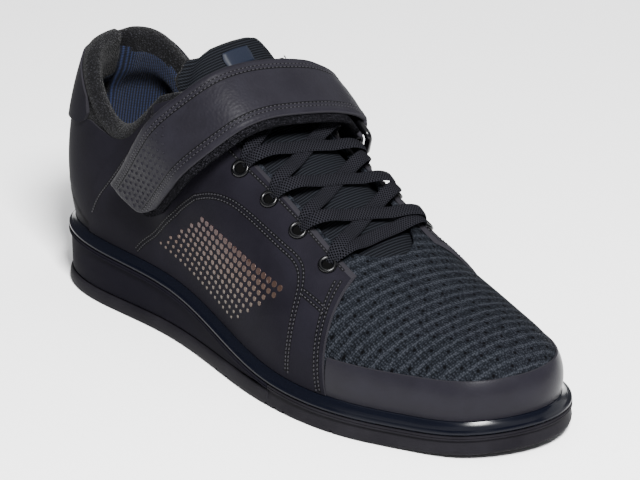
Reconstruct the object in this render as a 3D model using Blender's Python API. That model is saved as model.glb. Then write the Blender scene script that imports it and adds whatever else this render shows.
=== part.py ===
"""Weightlifting shoe for the right foot, standing empty on its sole.

Frame: +X to the toe, +Y to the medial side, +Z up, origin on the floor under
the middle of the sole. Metres. Everything is drawn from one last: a column
rises from each place round the feather line to the crest of the foot, and a
place on the shoe is a side, a turn round the outline (0 heel, 1 toe) and a
rise along the column (0 feather line, 1 crest).
"""
import math

import bpy
import bmesh
import numpy as np
from mathutils import Matrix, Vector
from mathutils.bvhtree import BVHTree

# Driving dimensions of the sole
LENGTH = 0.300
BALL_WIDTH = 0.1106
HEEL_WIDTH = 0.0756
HEEL_STACK = 0.0285
FORE_STACK = 0.0089
TOE_SPRING = 0.0041
HEEL_LIFT = 0.0010
OUTSOLE_HEIGHT = 0.0062
EDGE_ROUND = 0.0010
LIP_HEIGHT = 0.0020
LIP_PROUD = 0.0012
GROOVE_WIDTH = 0.0022
GROOVE_DEPTH = 0.0016

# Welt and footbed
WELT_HEIGHT = 0.0050
WELT_SEAT = 0.0036
FEATHER_INSET = 0.0060
INSOLE_THICKNESS = 0.0045
HEEL_INSET = 0.62

# Upper
WALL = 0.0026
COLLAR_PAD = 0.0090
COLLAR_PAD_DEPTH = 0.034
LAST_HEIGHT = 0.150
ANKLE_WIDTH = 0.060
HEEL_TOP = 0.1210
THROAT_WIDTH = 0.048
THROAT_SHIFT = 0.0025
THROAT_CORNER = 0.026
RIDGE_SHIFT = 0.0050
LEATHER = 0.0013
TOE_CAP_RISE = 0.0185
TONGUE_TOP = 0.1420
TONGUE_WIDTH = 0.074
TONGUE_LEAN = 0.004
TONGUE_THICKNESS = 0.0060
TONGUE_TUCK = 0.0160
TONGUE_COVER = 0.0012

# Lacing
EYELET_PAIRS = 5
EYELET_RADIUS = 0.0042
EYELET_HOLE = 0.0023
EYELET_HEIGHT = 0.0012
EYELET_MARGIN = 0.0085
LACE_WIDTH = 0.0065
LACE_THICKNESS = 0.0014

# Instep strap
STRAP_WIDTH = 0.030
STRAP_THICKNESS = 0.0022
STRAP_STEP = 0.0060
STRAP_OPENING = 0.016
RING_WIRE = 0.0034
RING_DEPTH = 0.013
RING_CORNER = 0.0030
RING_TILT = 0.32
ANCHOR_WIDTH = 0.026
ANCHOR_THICKNESS = 0.0016
ANCHOR_LENGTH = 0.034

# Clearance between pieces that touch
GAP = 0.0003

LATERAL, MEDIAL = -1, 1
HALF_TURNS = 38

# Outline of the sole: share of the length, share of half the named width
HEEL, BALL = HEEL_WIDTH / 2, BALL_WIDTH / 2
OUTLINE_LATERAL = (
    (0.030, 0.614, HEEL), (0.100, 0.907, HEEL), (0.200, 0.976, HEEL), (0.320, 1.005, HEEL),
    (0.450, 0.817, BALL), (0.570, 0.960, BALL), (0.670, 1.000, BALL), (0.770, 0.935, BALL),
    (0.860, 0.767, BALL), (0.935, 0.571, BALL), (0.983, 0.235, BALL),
)
OUTLINE_MEDIAL = (
    (0.035, 0.646, HEEL), (0.120, 0.966, HEEL), (0.240, 0.981, HEEL), (0.360, 0.955, HEEL),
    (0.480, 0.725, BALL), (0.600, 0.897, BALL), (0.700, 0.995, BALL), (0.780, 0.978, BALL),
    (0.870, 0.857, BALL), (0.940, 0.694, BALL), (0.985, 0.439, BALL),
)
HEEL_TIP, TOE_TIP = 0.016, 0.136

# How much of the difference between heel and forefoot stack is left: length share, share
WEDGE = ((0.0, 1.0), (0.20, 0.862), (0.35, 0.719), (0.50, 0.347), (0.62, 0.082),
         (0.75, 0.036), (0.90, 0.0), (1.0, 0.015))
WEDGE_END = 0.612
SPRING_START = 0.70
HEEL_LIFT_END = 0.05

# Crest of the last by turn: length share, share of half the ankle, share of the height
CREST = (
    (0.00, 0.098, 0.00, 1.00), (0.07, 0.105, 0.33, 1.00), (0.14, 0.123, 0.60, 1.00),
    (0.22, 0.158, 0.83, 1.00), (0.29, 0.205, 0.96, 1.00), (0.34, 0.268, 0.98, 1.00),
    (0.365, 0.304, 0.88, 1.00), (0.385, 0.325, 0.55, 0.99), (0.40, 0.334, 0.00, 0.98),
    (0.43, 0.366, 0.00, 0.915),
    (0.47, 0.420, 0.00, 0.793), (0.52, 0.497, 0.00, 0.677), (0.57, 0.577, 0.00, 0.583),
    (0.62, 0.657, 0.00, 0.482), (0.68, 0.740, 0.00, 0.404), (0.75, 0.810, 0.00, 0.359),
    (0.82, 0.853, 0.00, 0.338), (0.90, 0.877, 0.00, 0.329), (1.00, 0.887, 0.00, 0.324),
)

# Shape of the columns by turn: flare at the feather line in degrees, lean of the
# top of the collar in degrees, and the pull of both ends as shares of the column
FORM = (
    (0.00, 13.0, 24.0, 0.34, 0.34), (0.15, 11.0, 20.0, 0.34, 0.34), (0.30, 5.0, 2.0, 0.40, 0.36),
    (0.42, 0.0, 0.0, 0.44, 0.36), (0.52, 2.0, 0.0, 0.46, 0.38), (0.65, 10.0, 0.0, 0.44, 0.42),
    (0.80, 12.0, 0.0, 0.44, 0.46), (1.00, 11.0, 0.0, 0.48, 0.48),
)
CREST_BLEND = (0.33, 0.42)

# Height of the collar by length share, as shares of the heel's top: lateral and medial
COLLAR = (
    (0.00, 1.000, 1.000), (0.065, 1.000, 0.990), (0.095, 0.955, 0.930), (0.125, 0.875, 0.840),
    (0.155, 0.795, 0.765), (0.190, 0.750, 0.725), (0.225, 0.785, 0.755), (0.265, 0.890, 0.860),
    (0.305, 0.965, 0.955), (0.345, 1.005, 1.005), (0.400, 1.020, 1.020),
)
THROAT_BACK, THROAT_FRONT = 0.290, 0.700

# Edge of the quarters by rise: length share of the front edge, lateral and medial
QUARTER_FRONT = ((0.0, 0.722, 0.745), (0.35, 0.716, 0.735), (0.70, 0.706, 0.716),
                 (1.0, 0.694, 0.690))
# Rear edge of the quarters: length share, share of the heel's top
QUARTER_BACK = ((0.140, 0.28), (0.150, 0.42), (0.190, 0.56), (0.262, 0.78))
THROAT_MARGIN, COLLAR_BAND = 0.0015, 0.012
SEAM_MARGIN = 0.0016
QUARTER_NEAR = 0.022
# Middle of the strap from its lateral end to the fold: length share, share of the ankle's
# width, share of the height
STRAP_PATH = (
    (0.243, -0.690, 0.420), (0.296, -0.680, 0.528), (0.346, -0.640, 0.630), (0.385, -0.500, 0.715),
    (0.411, -0.290, 0.770), (0.435, -0.050, 0.797), (0.455, 0.200, 0.800), (0.462, 0.433, 0.780),
    (0.455, 0.633, 0.733),
)
STRAP_RULING = (0.80, 0.03, -0.60)
LACING_REACH = (0.20, 0.38)
# Slanted and rounded lateral end: place across, share of the width that the end is cut back
STRAP_END = ((-0.5, 0.0), (-0.2, 0.06), (0.15, 0.20), (0.38, 0.40), (0.5, 0.72))
TOE_CAP_ENDS = (0.724, 0.753)
# Heel tab from the side: length share, share of the heel's top
HEEL_TAB = ((-0.05, 0.700), (0.030, 0.705), (0.078, 0.728), (0.106, 0.732), (0.126, 0.765),
            (0.122, 0.850), (0.098, 0.920), (0.068, 0.985), (-0.05, 0.985))
HEEL_TAB_COLUMNS = 11
# Tongue from the vamp to its top: share of its run, share of its width
TONGUE_FORM = ((0.0, 0.62), (0.15, 0.76), (0.55, 0.84), (0.75, 0.94), (0.88, 1.00), (0.95, 0.90),
               (1.0, 0.60))
# Grooves across the sole's underside, by length share
GROOVES = (0.470, 0.500, 0.610, 0.630, 0.650, 0.745)
EYELET_FRONT, EYELET_PITCH = {LATERAL: 0.650, MEDIAL: 0.643}, 0.064
LACE_DIP = 0.0025
INSTEP_UP = (0.38, 0.0, 0.92)


def spline(knots, values):
    """Natural cubic spline through the rows of a table, as a function of the knot."""
    knots, values = np.asarray(knots, float), np.asarray(values, float)
    count = len(knots)
    step = np.diff(knots)
    rows, right = np.zeros((count, count)), np.zeros(count)
    rows[0, 0] = rows[-1, -1] = 1.0
    for i in range(1, count - 1):
        rows[i, i - 1:i + 2] = step[i - 1] / 6, (step[i - 1] + step[i]) / 3, step[i] / 6
        right[i] = (values[i + 1] - values[i]) / step[i] - (values[i] - values[i - 1]) / step[i - 1]
    bend = np.linalg.solve(rows, right)

    def value(at):
        at = np.clip(np.asarray(at, float), knots[0], knots[-1])
        i = np.clip(np.searchsorted(knots, at) - 1, 0, count - 2)
        h = step[i]
        a, b = (knots[i + 1] - at) / h, (at - knots[i]) / h
        cubic = ((a ** 3 - a) * bend[i] + (b ** 3 - b) * bend[i + 1]) * h * h / 6
        return a * values[i] + b * values[i + 1] + cubic

    return value


def column(table, index):
    """One named column of a table as a spline over its first column."""
    return spline([row[0] for row in table], [row[index] for row in table])


def blend(low, high, at):
    """Smooth step from 0 at low to 1 at high."""
    share = np.clip((np.asarray(at, float) - low) / (high - low), 0.0, 1.0)
    return share * share * (3 - 2 * share)


def turn_of(share):
    """Turn round the outline at a share of the length."""
    return np.arccos(1 - 2 * np.clip(share, 0.0, 1.0)) / math.pi


def outline_loop():
    """Dense closed outline of the sole with outward normals, heel, lateral, toe, medial."""
    points = [(0.0, HEEL_TIP * HEEL)]
    points += [(x * LENGTH, -y * width) for x, y, width in OUTLINE_LATERAL]
    points.append((LENGTH, TOE_TIP * BALL))
    points += [(x * LENGTH, y * width) for x, y, width in reversed(OUTLINE_MEDIAL)]
    points = np.array(points)
    count = len(points)
    wrapped = np.vstack([points] * 3 + [points[:1]])
    run = np.r_[0, np.cumsum(np.linalg.norm(np.diff(wrapped, axis=0), axis=1))]
    toe = count + len(OUTLINE_LATERAL) + 1
    curve_x, curve_y = spline(run, wrapped[:, 0]), spline(run, wrapped[:, 1])
    halves = {}
    for side, first, last in ((LATERAL, count, toe), (MEDIAL, 2 * count, toe)):
        at = np.linspace(run[first], run[last], 361)
        x, y = curve_x(at), curve_y(at)
        slope_x, slope_y = np.gradient(x, at), np.gradient(y, at)
        size = np.hypot(slope_x, slope_y)
        normal_x, normal_y = slope_y / size, -slope_x / size
        normal_x[0], normal_y[0], normal_x[-1], normal_y[-1] = -1.0, 0.0, 1.0, 0.0
        turn = np.maximum.accumulate(turn_of(x / LENGTH) + np.linspace(0, 1e-9, 361))
        turn[0], turn[-1] = 0.0, 1.0
        halves[side] = (turn, x, y, normal_x, normal_y)
    return halves


OUTLINE = outline_loop()


def rail(side, turn, inset=0.0):
    """Points of the outline, moved inwards, with their outward normals."""
    turns, xs, ys, normal_xs, normal_ys = OUTLINE[side]
    x, y = np.interp(turn, turns, xs), np.interp(turn, turns, ys)
    normal_x, normal_y = np.interp(turn, turns, normal_xs), np.interp(turn, turns, normal_ys)
    size = np.hypot(normal_x, normal_y)
    normal_x, normal_y = normal_x / size, normal_y / size
    return x - normal_x * inset, y - normal_y * inset, normal_x, normal_y


wedge_share = column(WEDGE, 1)


def ground(x):
    """Height of the sole's underside: flat, with toe spring and a lifted heel edge."""
    share = np.asarray(x, float) / LENGTH
    toe = np.clip((share - SPRING_START) / (1 - SPRING_START), 0.0, 1.0)
    heel = np.clip((HEEL_LIFT_END - share) / HEEL_LIFT_END, 0.0, 1.0)
    return TOE_SPRING * toe ** 2 + HEEL_LIFT * heel ** 2


def lip(x):
    """Height of the lip along the top of the sole's side."""
    share = np.asarray(x, float) / LENGTH
    stack = FORE_STACK + (HEEL_STACK - FORE_STACK) * wedge_share(share)
    return ground(x) + stack - HEEL_LIFT * np.clip((HEEL_LIFT_END - share) / HEEL_LIFT_END, 0, 1) ** 2


def split(x):
    """Height of the line between outsole and heel wedge."""
    share = np.clip(np.asarray(x, float) / LENGTH / WEDGE_END, 0.0, 1.0)
    end = lip(WEDGE_END * LENGTH) - LIP_HEIGHT - GAP
    return ground(x) + OUTSOLE_HEIGHT + (end - OUTSOLE_HEIGHT) * share ** 2.2


def feather_inset(turn):
    """How far the feather line lies inside the outline: less round the heel."""
    return FEATHER_INSET * (HEEL_INSET + (1 - HEEL_INSET) * blend(0.05, 0.30, turn))


def feather(side, turn):
    """Feather line, where the upper stands on the welt."""
    x, y, _, _ = rail(side, turn, feather_inset(turn))
    return np.stack([x, y, lip(x) + GAP + WELT_HEIGHT + GAP], axis=-1)


crest_x, crest_half, crest_z = (column(CREST, i) for i in (1, 2, 3))
flare, lean, low_pull, high_pull = (column(FORM, i) for i in (1, 2, 3, 4))


def ridge_y(x):
    """Centre line of the foot: it wanders to the medial side over the instep."""
    share = np.asarray(x, float) / LENGTH
    return RIDGE_SHIFT * blend(0.28, 0.52, share) + (TOE_TIP * BALL - RIDGE_SHIFT) * blend(0.6, 1, share)


def crest(side, turn):
    """Top of each column: a ring round the ankle, then the ridge of the foot."""
    turn = np.asarray(turn, float)
    x = crest_x(turn) * LENGTH
    half = np.where(turn < 0.4, np.maximum(crest_half(turn), 0.0), 0.0) * ANKLE_WIDTH / 2
    return np.stack([x, ridge_y(x) + side * half, crest_z(turn) * LAST_HEIGHT], axis=-1)


def unit(vectors):
    """Vectors scaled to length one."""
    return vectors / np.linalg.norm(vectors, axis=-1, keepdims=True)


def last_point(side, turn, rise):
    """Place on the outside of the upper."""
    turn, rise = np.broadcast_arrays(np.asarray(turn, float), np.asarray(rise, float))
    _, _, normal_x, normal_y = rail(side, turn)
    low, high = feather(side, turn), crest(side, turn)
    out = np.stack([normal_x, normal_y, np.zeros_like(turn)], axis=-1)
    up = np.array([0.0, 0.0, 1.0])
    angle = np.radians(flare(turn))[..., None]
    start = out * np.sin(angle) + up * np.cos(angle)
    tilt = np.radians(lean(turn))[..., None]
    wall_end = out * np.sin(tilt) - up * np.cos(tilt)
    step = 0.004
    ahead, behind = np.clip(turn + step, 0, 1), np.clip(turn - step, 0, 1)
    along = crest(side, ahead) - crest(side, behind)
    along[..., 1] = 0.0
    along = unit(along)
    over = unit(along * normal_x[..., None] + np.array([0.0, 1.0, 0.0]) * normal_y[..., None])
    share = blend(*CREST_BLEND, turn)[..., None]
    end = unit(wall_end * (1 - share) + over * share)
    chord = np.linalg.norm(high - low, axis=-1, keepdims=True)
    second = low + start * chord * low_pull(turn)[..., None]
    third = high + end * chord * high_pull(turn)[..., None]
    t = rise[..., None]
    s = 1 - t
    return s ** 3 * low + 3 * s * s * t * second + 3 * s * t * t * third + t ** 3 * high


def last_normal(side, turn, rise):
    """Outward direction of the last's surface."""
    turn, rise = np.broadcast_arrays(np.asarray(turn, float), np.asarray(rise, float))
    step = 0.004
    a, b = np.clip(turn + step, 0, 1), np.clip(turn - step, 0, 1)
    c, d = np.clip(rise + step, 0, 1), np.clip(rise - step, 0, 1)
    along = last_point(side, a, rise) - last_point(side, b, rise)
    across = last_point(side, turn, c) - last_point(side, turn, d)
    ends = ((turn < step) | (turn > 1 - step))[..., None]
    along = np.where(ends, along * np.array([0.0, 1.0, 0.0]), along)
    return unit(np.cross(along, across) * -side)


def surface(side, turn, rise, out):
    """Place on the last moved outwards; at the feather line it moves level."""
    normal = last_normal(side, turn, rise)
    level = np.where(np.asarray(rise)[..., None] < 0.02, np.array([1.0, 1.0, 0.0]), 1.0)
    return last_point(side, turn, rise) + unit(normal * level) * np.asarray(out)[..., None]


collar_shares = {LATERAL: column(COLLAR, 1), MEDIAL: column(COLLAR, 2)}
RISES = np.linspace(0.0, 1.0, 241)


def throat_edge(side):
    """Distance of a throat edge from the foot's centre line; the throat lies off centre."""
    return THROAT_WIDTH / 2 - side * THROAT_SHIFT


def throat_half(side, x):
    """Distance of the throat's edge from the centre line, with round front corners."""
    left = np.clip((THROAT_FRONT * LENGTH - np.asarray(x, float)) / THROAT_CORNER, 0.0, 1.0)
    return throat_edge(side) * np.sqrt(1 - (1 - left) ** 2)


def edge_rise(side, turn):
    """Rise of the upper's top edge on a column: the collar, the throat or the crest."""
    points = last_point(side, np.full_like(RISES, turn), RISES)
    x, y, z = points.T
    over = z > collar_shares[side](x / LENGTH) * HEEL_TOP
    over &= x < 0.4 * LENGTH
    inside = (x > THROAT_BACK * LENGTH) & (x < THROAT_FRONT * LENGTH)
    over |= inside & (np.abs(y - ridge_y(x)) < throat_half(side, x))
    return float(RISES[np.argmax(over)]) if over.any() else 1.0


def wall_thickness(side, x, z):
    """Wall of the upper: thin, and padded in a band under the collar."""
    depth = collar_shares[side](x / LENGTH) * HEEL_TOP - z
    pad = (1 - blend(COLLAR_PAD_DEPTH * 0.45, COLLAR_PAD_DEPTH, depth)) * blend(0.26, 0.20, x / LENGTH)
    return WALL + (COLLAR_PAD - WALL) * pad * (0.72 + 0.28 * blend(0.0, 0.008, depth))


def mesh_object(name, points, faces, material, smooth=40.0):
    """Object from points and faces, with its faces turned outwards."""
    mesh = bpy.data.meshes.new(name)
    mesh.from_pydata([tuple(point) for point in points], [], faces)
    form = bmesh.new()
    form.from_mesh(mesh)
    bmesh.ops.remove_doubles(form, verts=form.verts, dist=1e-6)
    bmesh.ops.recalc_face_normals(form, faces=form.faces)
    form.to_mesh(mesh)
    form.free()
    mesh.transform(ORIGIN)
    mesh.shade_smooth()
    mesh.set_sharp_from_angle(angle=math.radians(smooth))
    part = bpy.data.objects.new(name, mesh)
    PARTS.objects.link(part)
    mesh.materials.append(material)
    return part


def ring_points(turns, inset, height):
    """One ring round the sole: its lateral and its medial points."""
    ring = []
    for side in (LATERAL, MEDIAL):
        x, y, _, _ = rail(side, turns, inset)
        ring.append(np.stack([x, y, height(x) + np.zeros_like(x)], axis=-1))
    return ring


def stack_solid(name, rows, turns, material, hollow=False):
    """Closed solid from rings round the sole, capped straight across or hollow."""
    count = len(turns)
    toe = turns[-1] > 1 - 1e-9
    points = np.vstack([np.vstack(ring) for ring in rows])

    def spot(row, side, i):
        """Number of a point; the heel, and the toe of a full ring, are shared."""
        if i == 0 or (toe and i == count - 1):
            side = 0
        return row * 2 * count + side * count + i

    faces = []
    rounds = len(rows) if hollow else len(rows) - 1
    for row in range(rounds):
        above = (row + 1) % len(rows)
        for side in (0, 1):
            for i in range(count - 1):
                faces.append((spot(row, side, i), spot(row, side, i + 1),
                              spot(above, side, i + 1), spot(above, side, i)))
        if not toe:
            last = count - 1
            faces.append((spot(row, 0, last), spot(row, 1, last),
                          spot(above, 1, last), spot(above, 0, last)))
    if not hollow:
        for row in (0, len(rows) - 1):
            for i in range(count - 1):
                corners = [spot(row, 0, i), spot(row, 0, i + 1), spot(row, 1, i + 1), spot(row, 1, i)]
                faces.append(tuple(dict.fromkeys(corners)))
    used = sorted({corner for face in faces for corner in face})
    number = {old: new for new, old in enumerate(used)}
    faces = [tuple(number[corner] for corner in face) for face in faces]
    return mesh_object(name, points[used], faces, material)


def thick_sheet(name, faces, outer, inner, material, crown=None):
    """Closed solid from a sheet and its inner copy, joined along the sheet's edges.

    crown gives, for a point on a rounded edge, the top of the rounding.
    """
    crown = crown or {}
    count = len(outer)
    sides = {}
    for face in faces:
        for a, b in zip(face, face[1:] + face[:1]):
            sides[(a, b)] = sides.get((a, b), 0) + 1
    edges = [pair for pair in sides if (pair[1], pair[0]) not in sides]
    points = list(outer) + list(inner)
    tops = {}
    for spot, place in crown.items():
        tops[spot] = len(points)
        points.append(place)
    solid = list(faces) + [tuple(corner + count for corner in reversed(face)) for face in faces]
    for a, b in edges:
        if a in tops and b in tops:
            solid.append((b, a, tops[a], tops[b]))
            solid.append((tops[b], tops[a], a + count, b + count))
        else:
            solid.append((b, a, a + count, b + count))
    used = sorted({corner for face in solid for corner in face})
    number = {old: new for new, old in enumerate(used)}
    solid = [tuple(number[corner] for corner in face) for face in solid]
    return mesh_object(name, [points[i] for i in used], solid, material)


def grid_faces(rows, columns):
    """Quads of a grid whose points are numbered row by row."""
    return [(r * columns + c, r * columns + c + 1, (r + 1) * columns + c + 1, (r + 1) * columns + c)
            for r in range(rows - 1) for c in range(columns - 1)]


def finish(name, colour, roughness, metallic=0.0):
    """Plain finish in a linear colour."""
    material = bpy.data.materials.new(name)
    material.use_nodes = True
    shader = material.node_tree.nodes["Principled BSDF"]
    shader.inputs["Base Color"].default_value = (*colour, 1.0)
    shader.inputs["Roughness"].default_value = roughness
    shader.inputs["Metallic"].default_value = metallic
    material.diffuse_color = (*colour, 1.0)
    return material


def build_outsole():
    """Rubber sole: rounded band at the heel, full side with the lip at the forefoot."""
    step = turn_of(np.array([WEDGE_END, WEDGE_END + GAP / LENGTH]))
    turns = np.linspace(0.0, 1.0, HALF_TURNS + 1)
    turns = turns[np.min(np.abs(turns[:, None] - step), axis=1) > 0.25 / HALF_TURNS]
    turns = np.sort(np.r_[turns, step])
    rear = turns <= step[0]
    rows = []
    for rear_inset, rear_drop, front_inset, front_drop in (
            (0.0002, 0.42, LIP_PROUD * 0.7, LIP_HEIGHT * 1.25), (0.0006, 0.14, 0.0, LIP_HEIGHT),
            (0.0011, 0.03, 0.0, LIP_HEIGHT * 0.3), (0.0020, 0.0, LIP_PROUD * 0.4, 0.0)):
        inset = np.where(rear, rear_inset, front_inset)
        rows.append((inset, lambda x, a=rear_drop, b=front_drop:
                     np.where(rear, split(x) - a * (split(x) - ground(x)), lip(x) - b)))
    rows = [(EDGE_ROUND, ground), (EDGE_ROUND * 0.2, lambda x: ground(x) + EDGE_ROUND),
            (0.0, lambda x: ground(x) + 0.4 * OUTSOLE_HEIGHT)] + rows
    rings = [ring_points(turns, inset, height) for inset, height in rows]
    body = stack_solid("outsole", rings, turns, RUBBER)
    cutters = []
    for share in GROOVES:
        x, half = share * LENGTH, GROOVE_WIDTH / 2
        floor_height = float(ground(x))
        roof = floor_height + GROOVE_DEPTH
        outline = [(x - half, floor_height - 0.005), (x + half, floor_height - 0.005),
                   (x + half * 0.6, roof), (x - half * 0.6, roof)]
        cutters.append(prism(outline, -BALL_WIDTH, BALL_WIDTH))
    return apply_cut(body, cutters, "DIFFERENCE")


def build_wedge():
    """Heel block that tapers to the lip at the ball of the foot."""
    end = turn_of(WEDGE_END - GAP / LENGTH)
    turns = np.linspace(0.0, float(end), round(HALF_TURNS * float(end)) + 1)

    def wall(share):
        """Height at a share of the wall between the outsole and the lip."""
        return lambda x: split(x) + GAP + share * (lip(x) - LIP_HEIGHT - split(x) - GAP)

    rows = [(0.0022, wall(0.0)), (0.0016, wall(0.08)), (0.0013, wall(0.5)), (LIP_PROUD, wall(0.93)),
            (0.0, lambda x: lip(x) - LIP_HEIGHT * 0.95), (0.0, lambda x: lip(x) - LIP_HEIGHT * 0.3),
            (LIP_PROUD * 0.4, lip)]
    rings = [ring_points(turns, inset, height) for inset, height in rows]
    return stack_solid("heel_wedge", rings, turns, HEEL_BLOCK)


def build_welt():
    """Glossy band round the shoe: a bead over the lip, a cove, and a seat for the upper."""
    turns = np.linspace(0.0, 1.0, HALF_TURNS + 1)
    feather_line = feather_inset(turns)
    profile = ((0.18, 0.0, 0.0), (0.18, 0.0, 0.20), (0.45, 0.0, 0.40),
               (0.78, 0.0, 0.84), (0.94, 0.0, 1.0), (1.0, WELT_SEAT, 1.0), (1.0, WELT_SEAT, 0.0))
    rings = [ring_points(turns, inset * feather_line + seat,
                         lambda x, share=share: lip(x) + GAP + share * WELT_HEIGHT)
             for inset, seat, share in profile]
    return stack_solid("welt", rings, turns, GLOSS_RUBBER, hollow=True)


def build_insole():
    """Footbed inside the welt."""
    turns = np.linspace(0.0, 1.0, HALF_TURNS + 1)[::2]
    inset = feather_inset(turns) + WELT_SEAT + GAP
    profile = ((GAP, 0.0), (GAP, 0.8), (GAP + 0.0012, 1.0))
    rings = [ring_points(turns, inset + shift,
                         lambda x, share=share: lip(x) + GAP + share * INSOLE_THICKNESS)
             for shift, share in profile]
    return stack_solid("insole", rings, turns, FOAM_CLOTH)


UPPER_ROWS = 9


UPPER_TURNS = np.linspace(0.0, 1.0, HALF_TURNS + 1)
UPPER_EDGES = {side: [edge_rise(side, turn) for turn in UPPER_TURNS] for side in (LATERAL, MEDIAL)}
CLOSED = [min(UPPER_EDGES[LATERAL][c], UPPER_EDGES[MEDIAL][c]) > 0.999 for c in range(HALF_TURNS + 1)]


def build_upper():
    """Hollow upper: outer surface on the last, inner one a wall or a pad further in."""
    turns, edges, closed = UPPER_TURNS, UPPER_EDGES, CLOSED
    first_closed = closed.index(True)
    numbers, outer, inner, crown, faces = {}, [], [], {}, []

    def spot(side, c, r):
        """Number of a grid point, shared where the two sides meet."""
        if c in (0, HALF_TURNS) or (r == UPPER_ROWS and closed[c]):
            side = LATERAL
        if (side, c, r) not in numbers:
            numbers[(side, c, r)] = len(outer)
            rise = edges[side][c] * r / UPPER_ROWS
            point = last_point(side, turns[c], rise)
            wall = wall_thickness(side, point[0], point[2]) if r else WALL
            inside = surface(side, turns[c], rise, -wall)
            outer.append(point)
            inner.append(inside)
            if r == UPPER_ROWS and c <= first_closed:
                below = last_point(side, turns[c], rise - 0.03)
                crown[numbers[(side, c, r)]] = (point + inside) / 2 + unit(point - below) * wall * 0.32
        return numbers[(side, c, r)]

    for side in (LATERAL, MEDIAL):
        for c in range(HALF_TURNS):
            for r in range(UPPER_ROWS):
                a, b = spot(side, c, r), spot(side, c + 1, r)
                d, e = spot(side, c, r + 1), spot(side, c + 1, r + 1)
                for face in ((a, b, e), (a, e, d)):
                    faces.append(face if side == LATERAL else face[::-1])
    return thick_sheet("upper", faces, outer, inner, MESH_CLOTH, crown)


LANE_TURNS = np.linspace(0.26, 0.92, 133)


def lane(side, half):
    """Line on the last that keeps a distance from the foot's centre: turns, rises, points."""
    turns, rises, points = [], [], []
    for turn in LANE_TURNS:
        places = last_point(side, np.full_like(RISES, turn), RISES)
        away = np.abs(places[:, 1] - ridge_y(places[:, 0]))
        top = int(np.argmax(away))
        if away[top] < half or away[-1] > half + 1e-9:
            continue
        rise = float(np.interp(-half, -away[top:], RISES[top:]))
        turns.append(turn)
        rises.append(rise)
        points.append(last_point(side, turn, rise))
    return np.array(turns), np.array(rises), np.array(points)


LANES = {}


def spot_on(offset, axis, value):
    """Side, turn and rise at a signed distance from the centre line, at a length or height."""
    side = LATERAL if offset < 0 else MEDIAL
    key = (side, round(abs(offset), 5))
    if key not in LANES:
        LANES[key] = lane(side, abs(offset))
    turns, rises, points = LANES[key]
    places = points[:, axis]
    if axis == 2:
        value, places = -value, -places
    places = np.maximum.accumulate(places)
    return side, float(np.interp(value, places, turns)), float(np.interp(value, places, rises))


def cross_line(tree, point, along, out, depth):
    """Line of the last across the foot, in the plane through a point: distance from it, points."""
    centre, aside = point - out * depth, np.array([0.0, 1.0, 0.0])
    points, outs = [], []
    for angle in np.radians(np.linspace(-125.0, 125.0, 101)):
        ray = Vector(out * math.cos(angle) + aside * math.sin(angle))
        place, normal, _, _ = tree.ray_cast(Vector(centre), ray)
        if place is not None:
            points.append(place)
            outs.append(normal if normal.dot(ray) > 0 else -normal)
    points, outs = np.array(points), np.array(outs)
    for _ in range(3):
        outs[1:-1] = (outs[:-2] + outs[1:-1] * 2 + outs[2:]) / 4
    run = np.r_[0, np.cumsum(np.linalg.norm(np.diff(points, axis=0), axis=1))]
    middle = int(np.argmin(np.linalg.norm(points - point, axis=1)))
    return run - run[middle], points, unit(outs)


def build_tongue(tree):
    """Padded tongue: round at the top, under the throat's edges, tucked under the vamp."""
    rows, across = 13, 11
    turns = np.linspace(0.4005, crest_turn(THROAT_FRONT * LENGTH + TONGUE_TUCK), 300)[::-1]
    ridge = crest(LATERAL, turns)
    ridge = ridge[ridge[:, 2] < TONGUE_TOP]
    run = np.r_[0, np.cumsum(np.linalg.norm(np.diff(ridge, axis=0), axis=1))]
    widths = column(TONGUE_FORM, 1)
    outer, inner = [], []
    for i in range(rows):
        share = math.sin(math.pi / 2 * i / (rows - 1)) * 0.35 + 0.65 * i / (rows - 1)
        point = np.array([np.interp(share * run[-1], run, ridge[:, k]) for k in range(3)])
        ahead = np.array([np.interp(share * run[-1] + 0.002, run, ridge[:, k]) for k in range(3)])
        behind = np.array([np.interp(share * run[-1] - 0.002, run, ridge[:, k]) for k in range(3)])
        along = unit((ahead - behind) * np.array([1.0, 0.0, 1.0]))
        out = np.array([along[2], 0.0, -along[0]])
        places, points, outs = cross_line(tree, point, along, out, TONGUE_WIDTH * 0.4)
        for j in range(across):
            offset = -1 + 2 * j / (across - 1)
            at = offset * TONGUE_WIDTH / 2 * float(widths(share)) - TONGUE_LEAN * share
            spot = np.array([np.interp(at, places, points[:, k]) for k in range(3)])
            normal = unit(np.array([np.interp(at, places, outs[:, k]) for k in range(3)]))
            edge = 1 - 0.55 * (1 - blend(0.0, 0.3, min(1 - abs(offset), 1 - share)))
            cover = WALL + TONGUE_COVER
            outer.append(spot - normal * cover)
            inner.append(spot - normal * (cover + TONGUE_THICKNESS * edge))
    return thick_sheet("tongue", grid_faces(rows, across), outer, inner, MESH_CLOTH)


def crest_turn(x):
    """Turn at which the crest reaches a length."""
    turns = np.linspace(0.40, 1.0, 600)
    return float(np.interp(x, crest(LATERAL, turns)[:, 0], turns))


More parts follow.
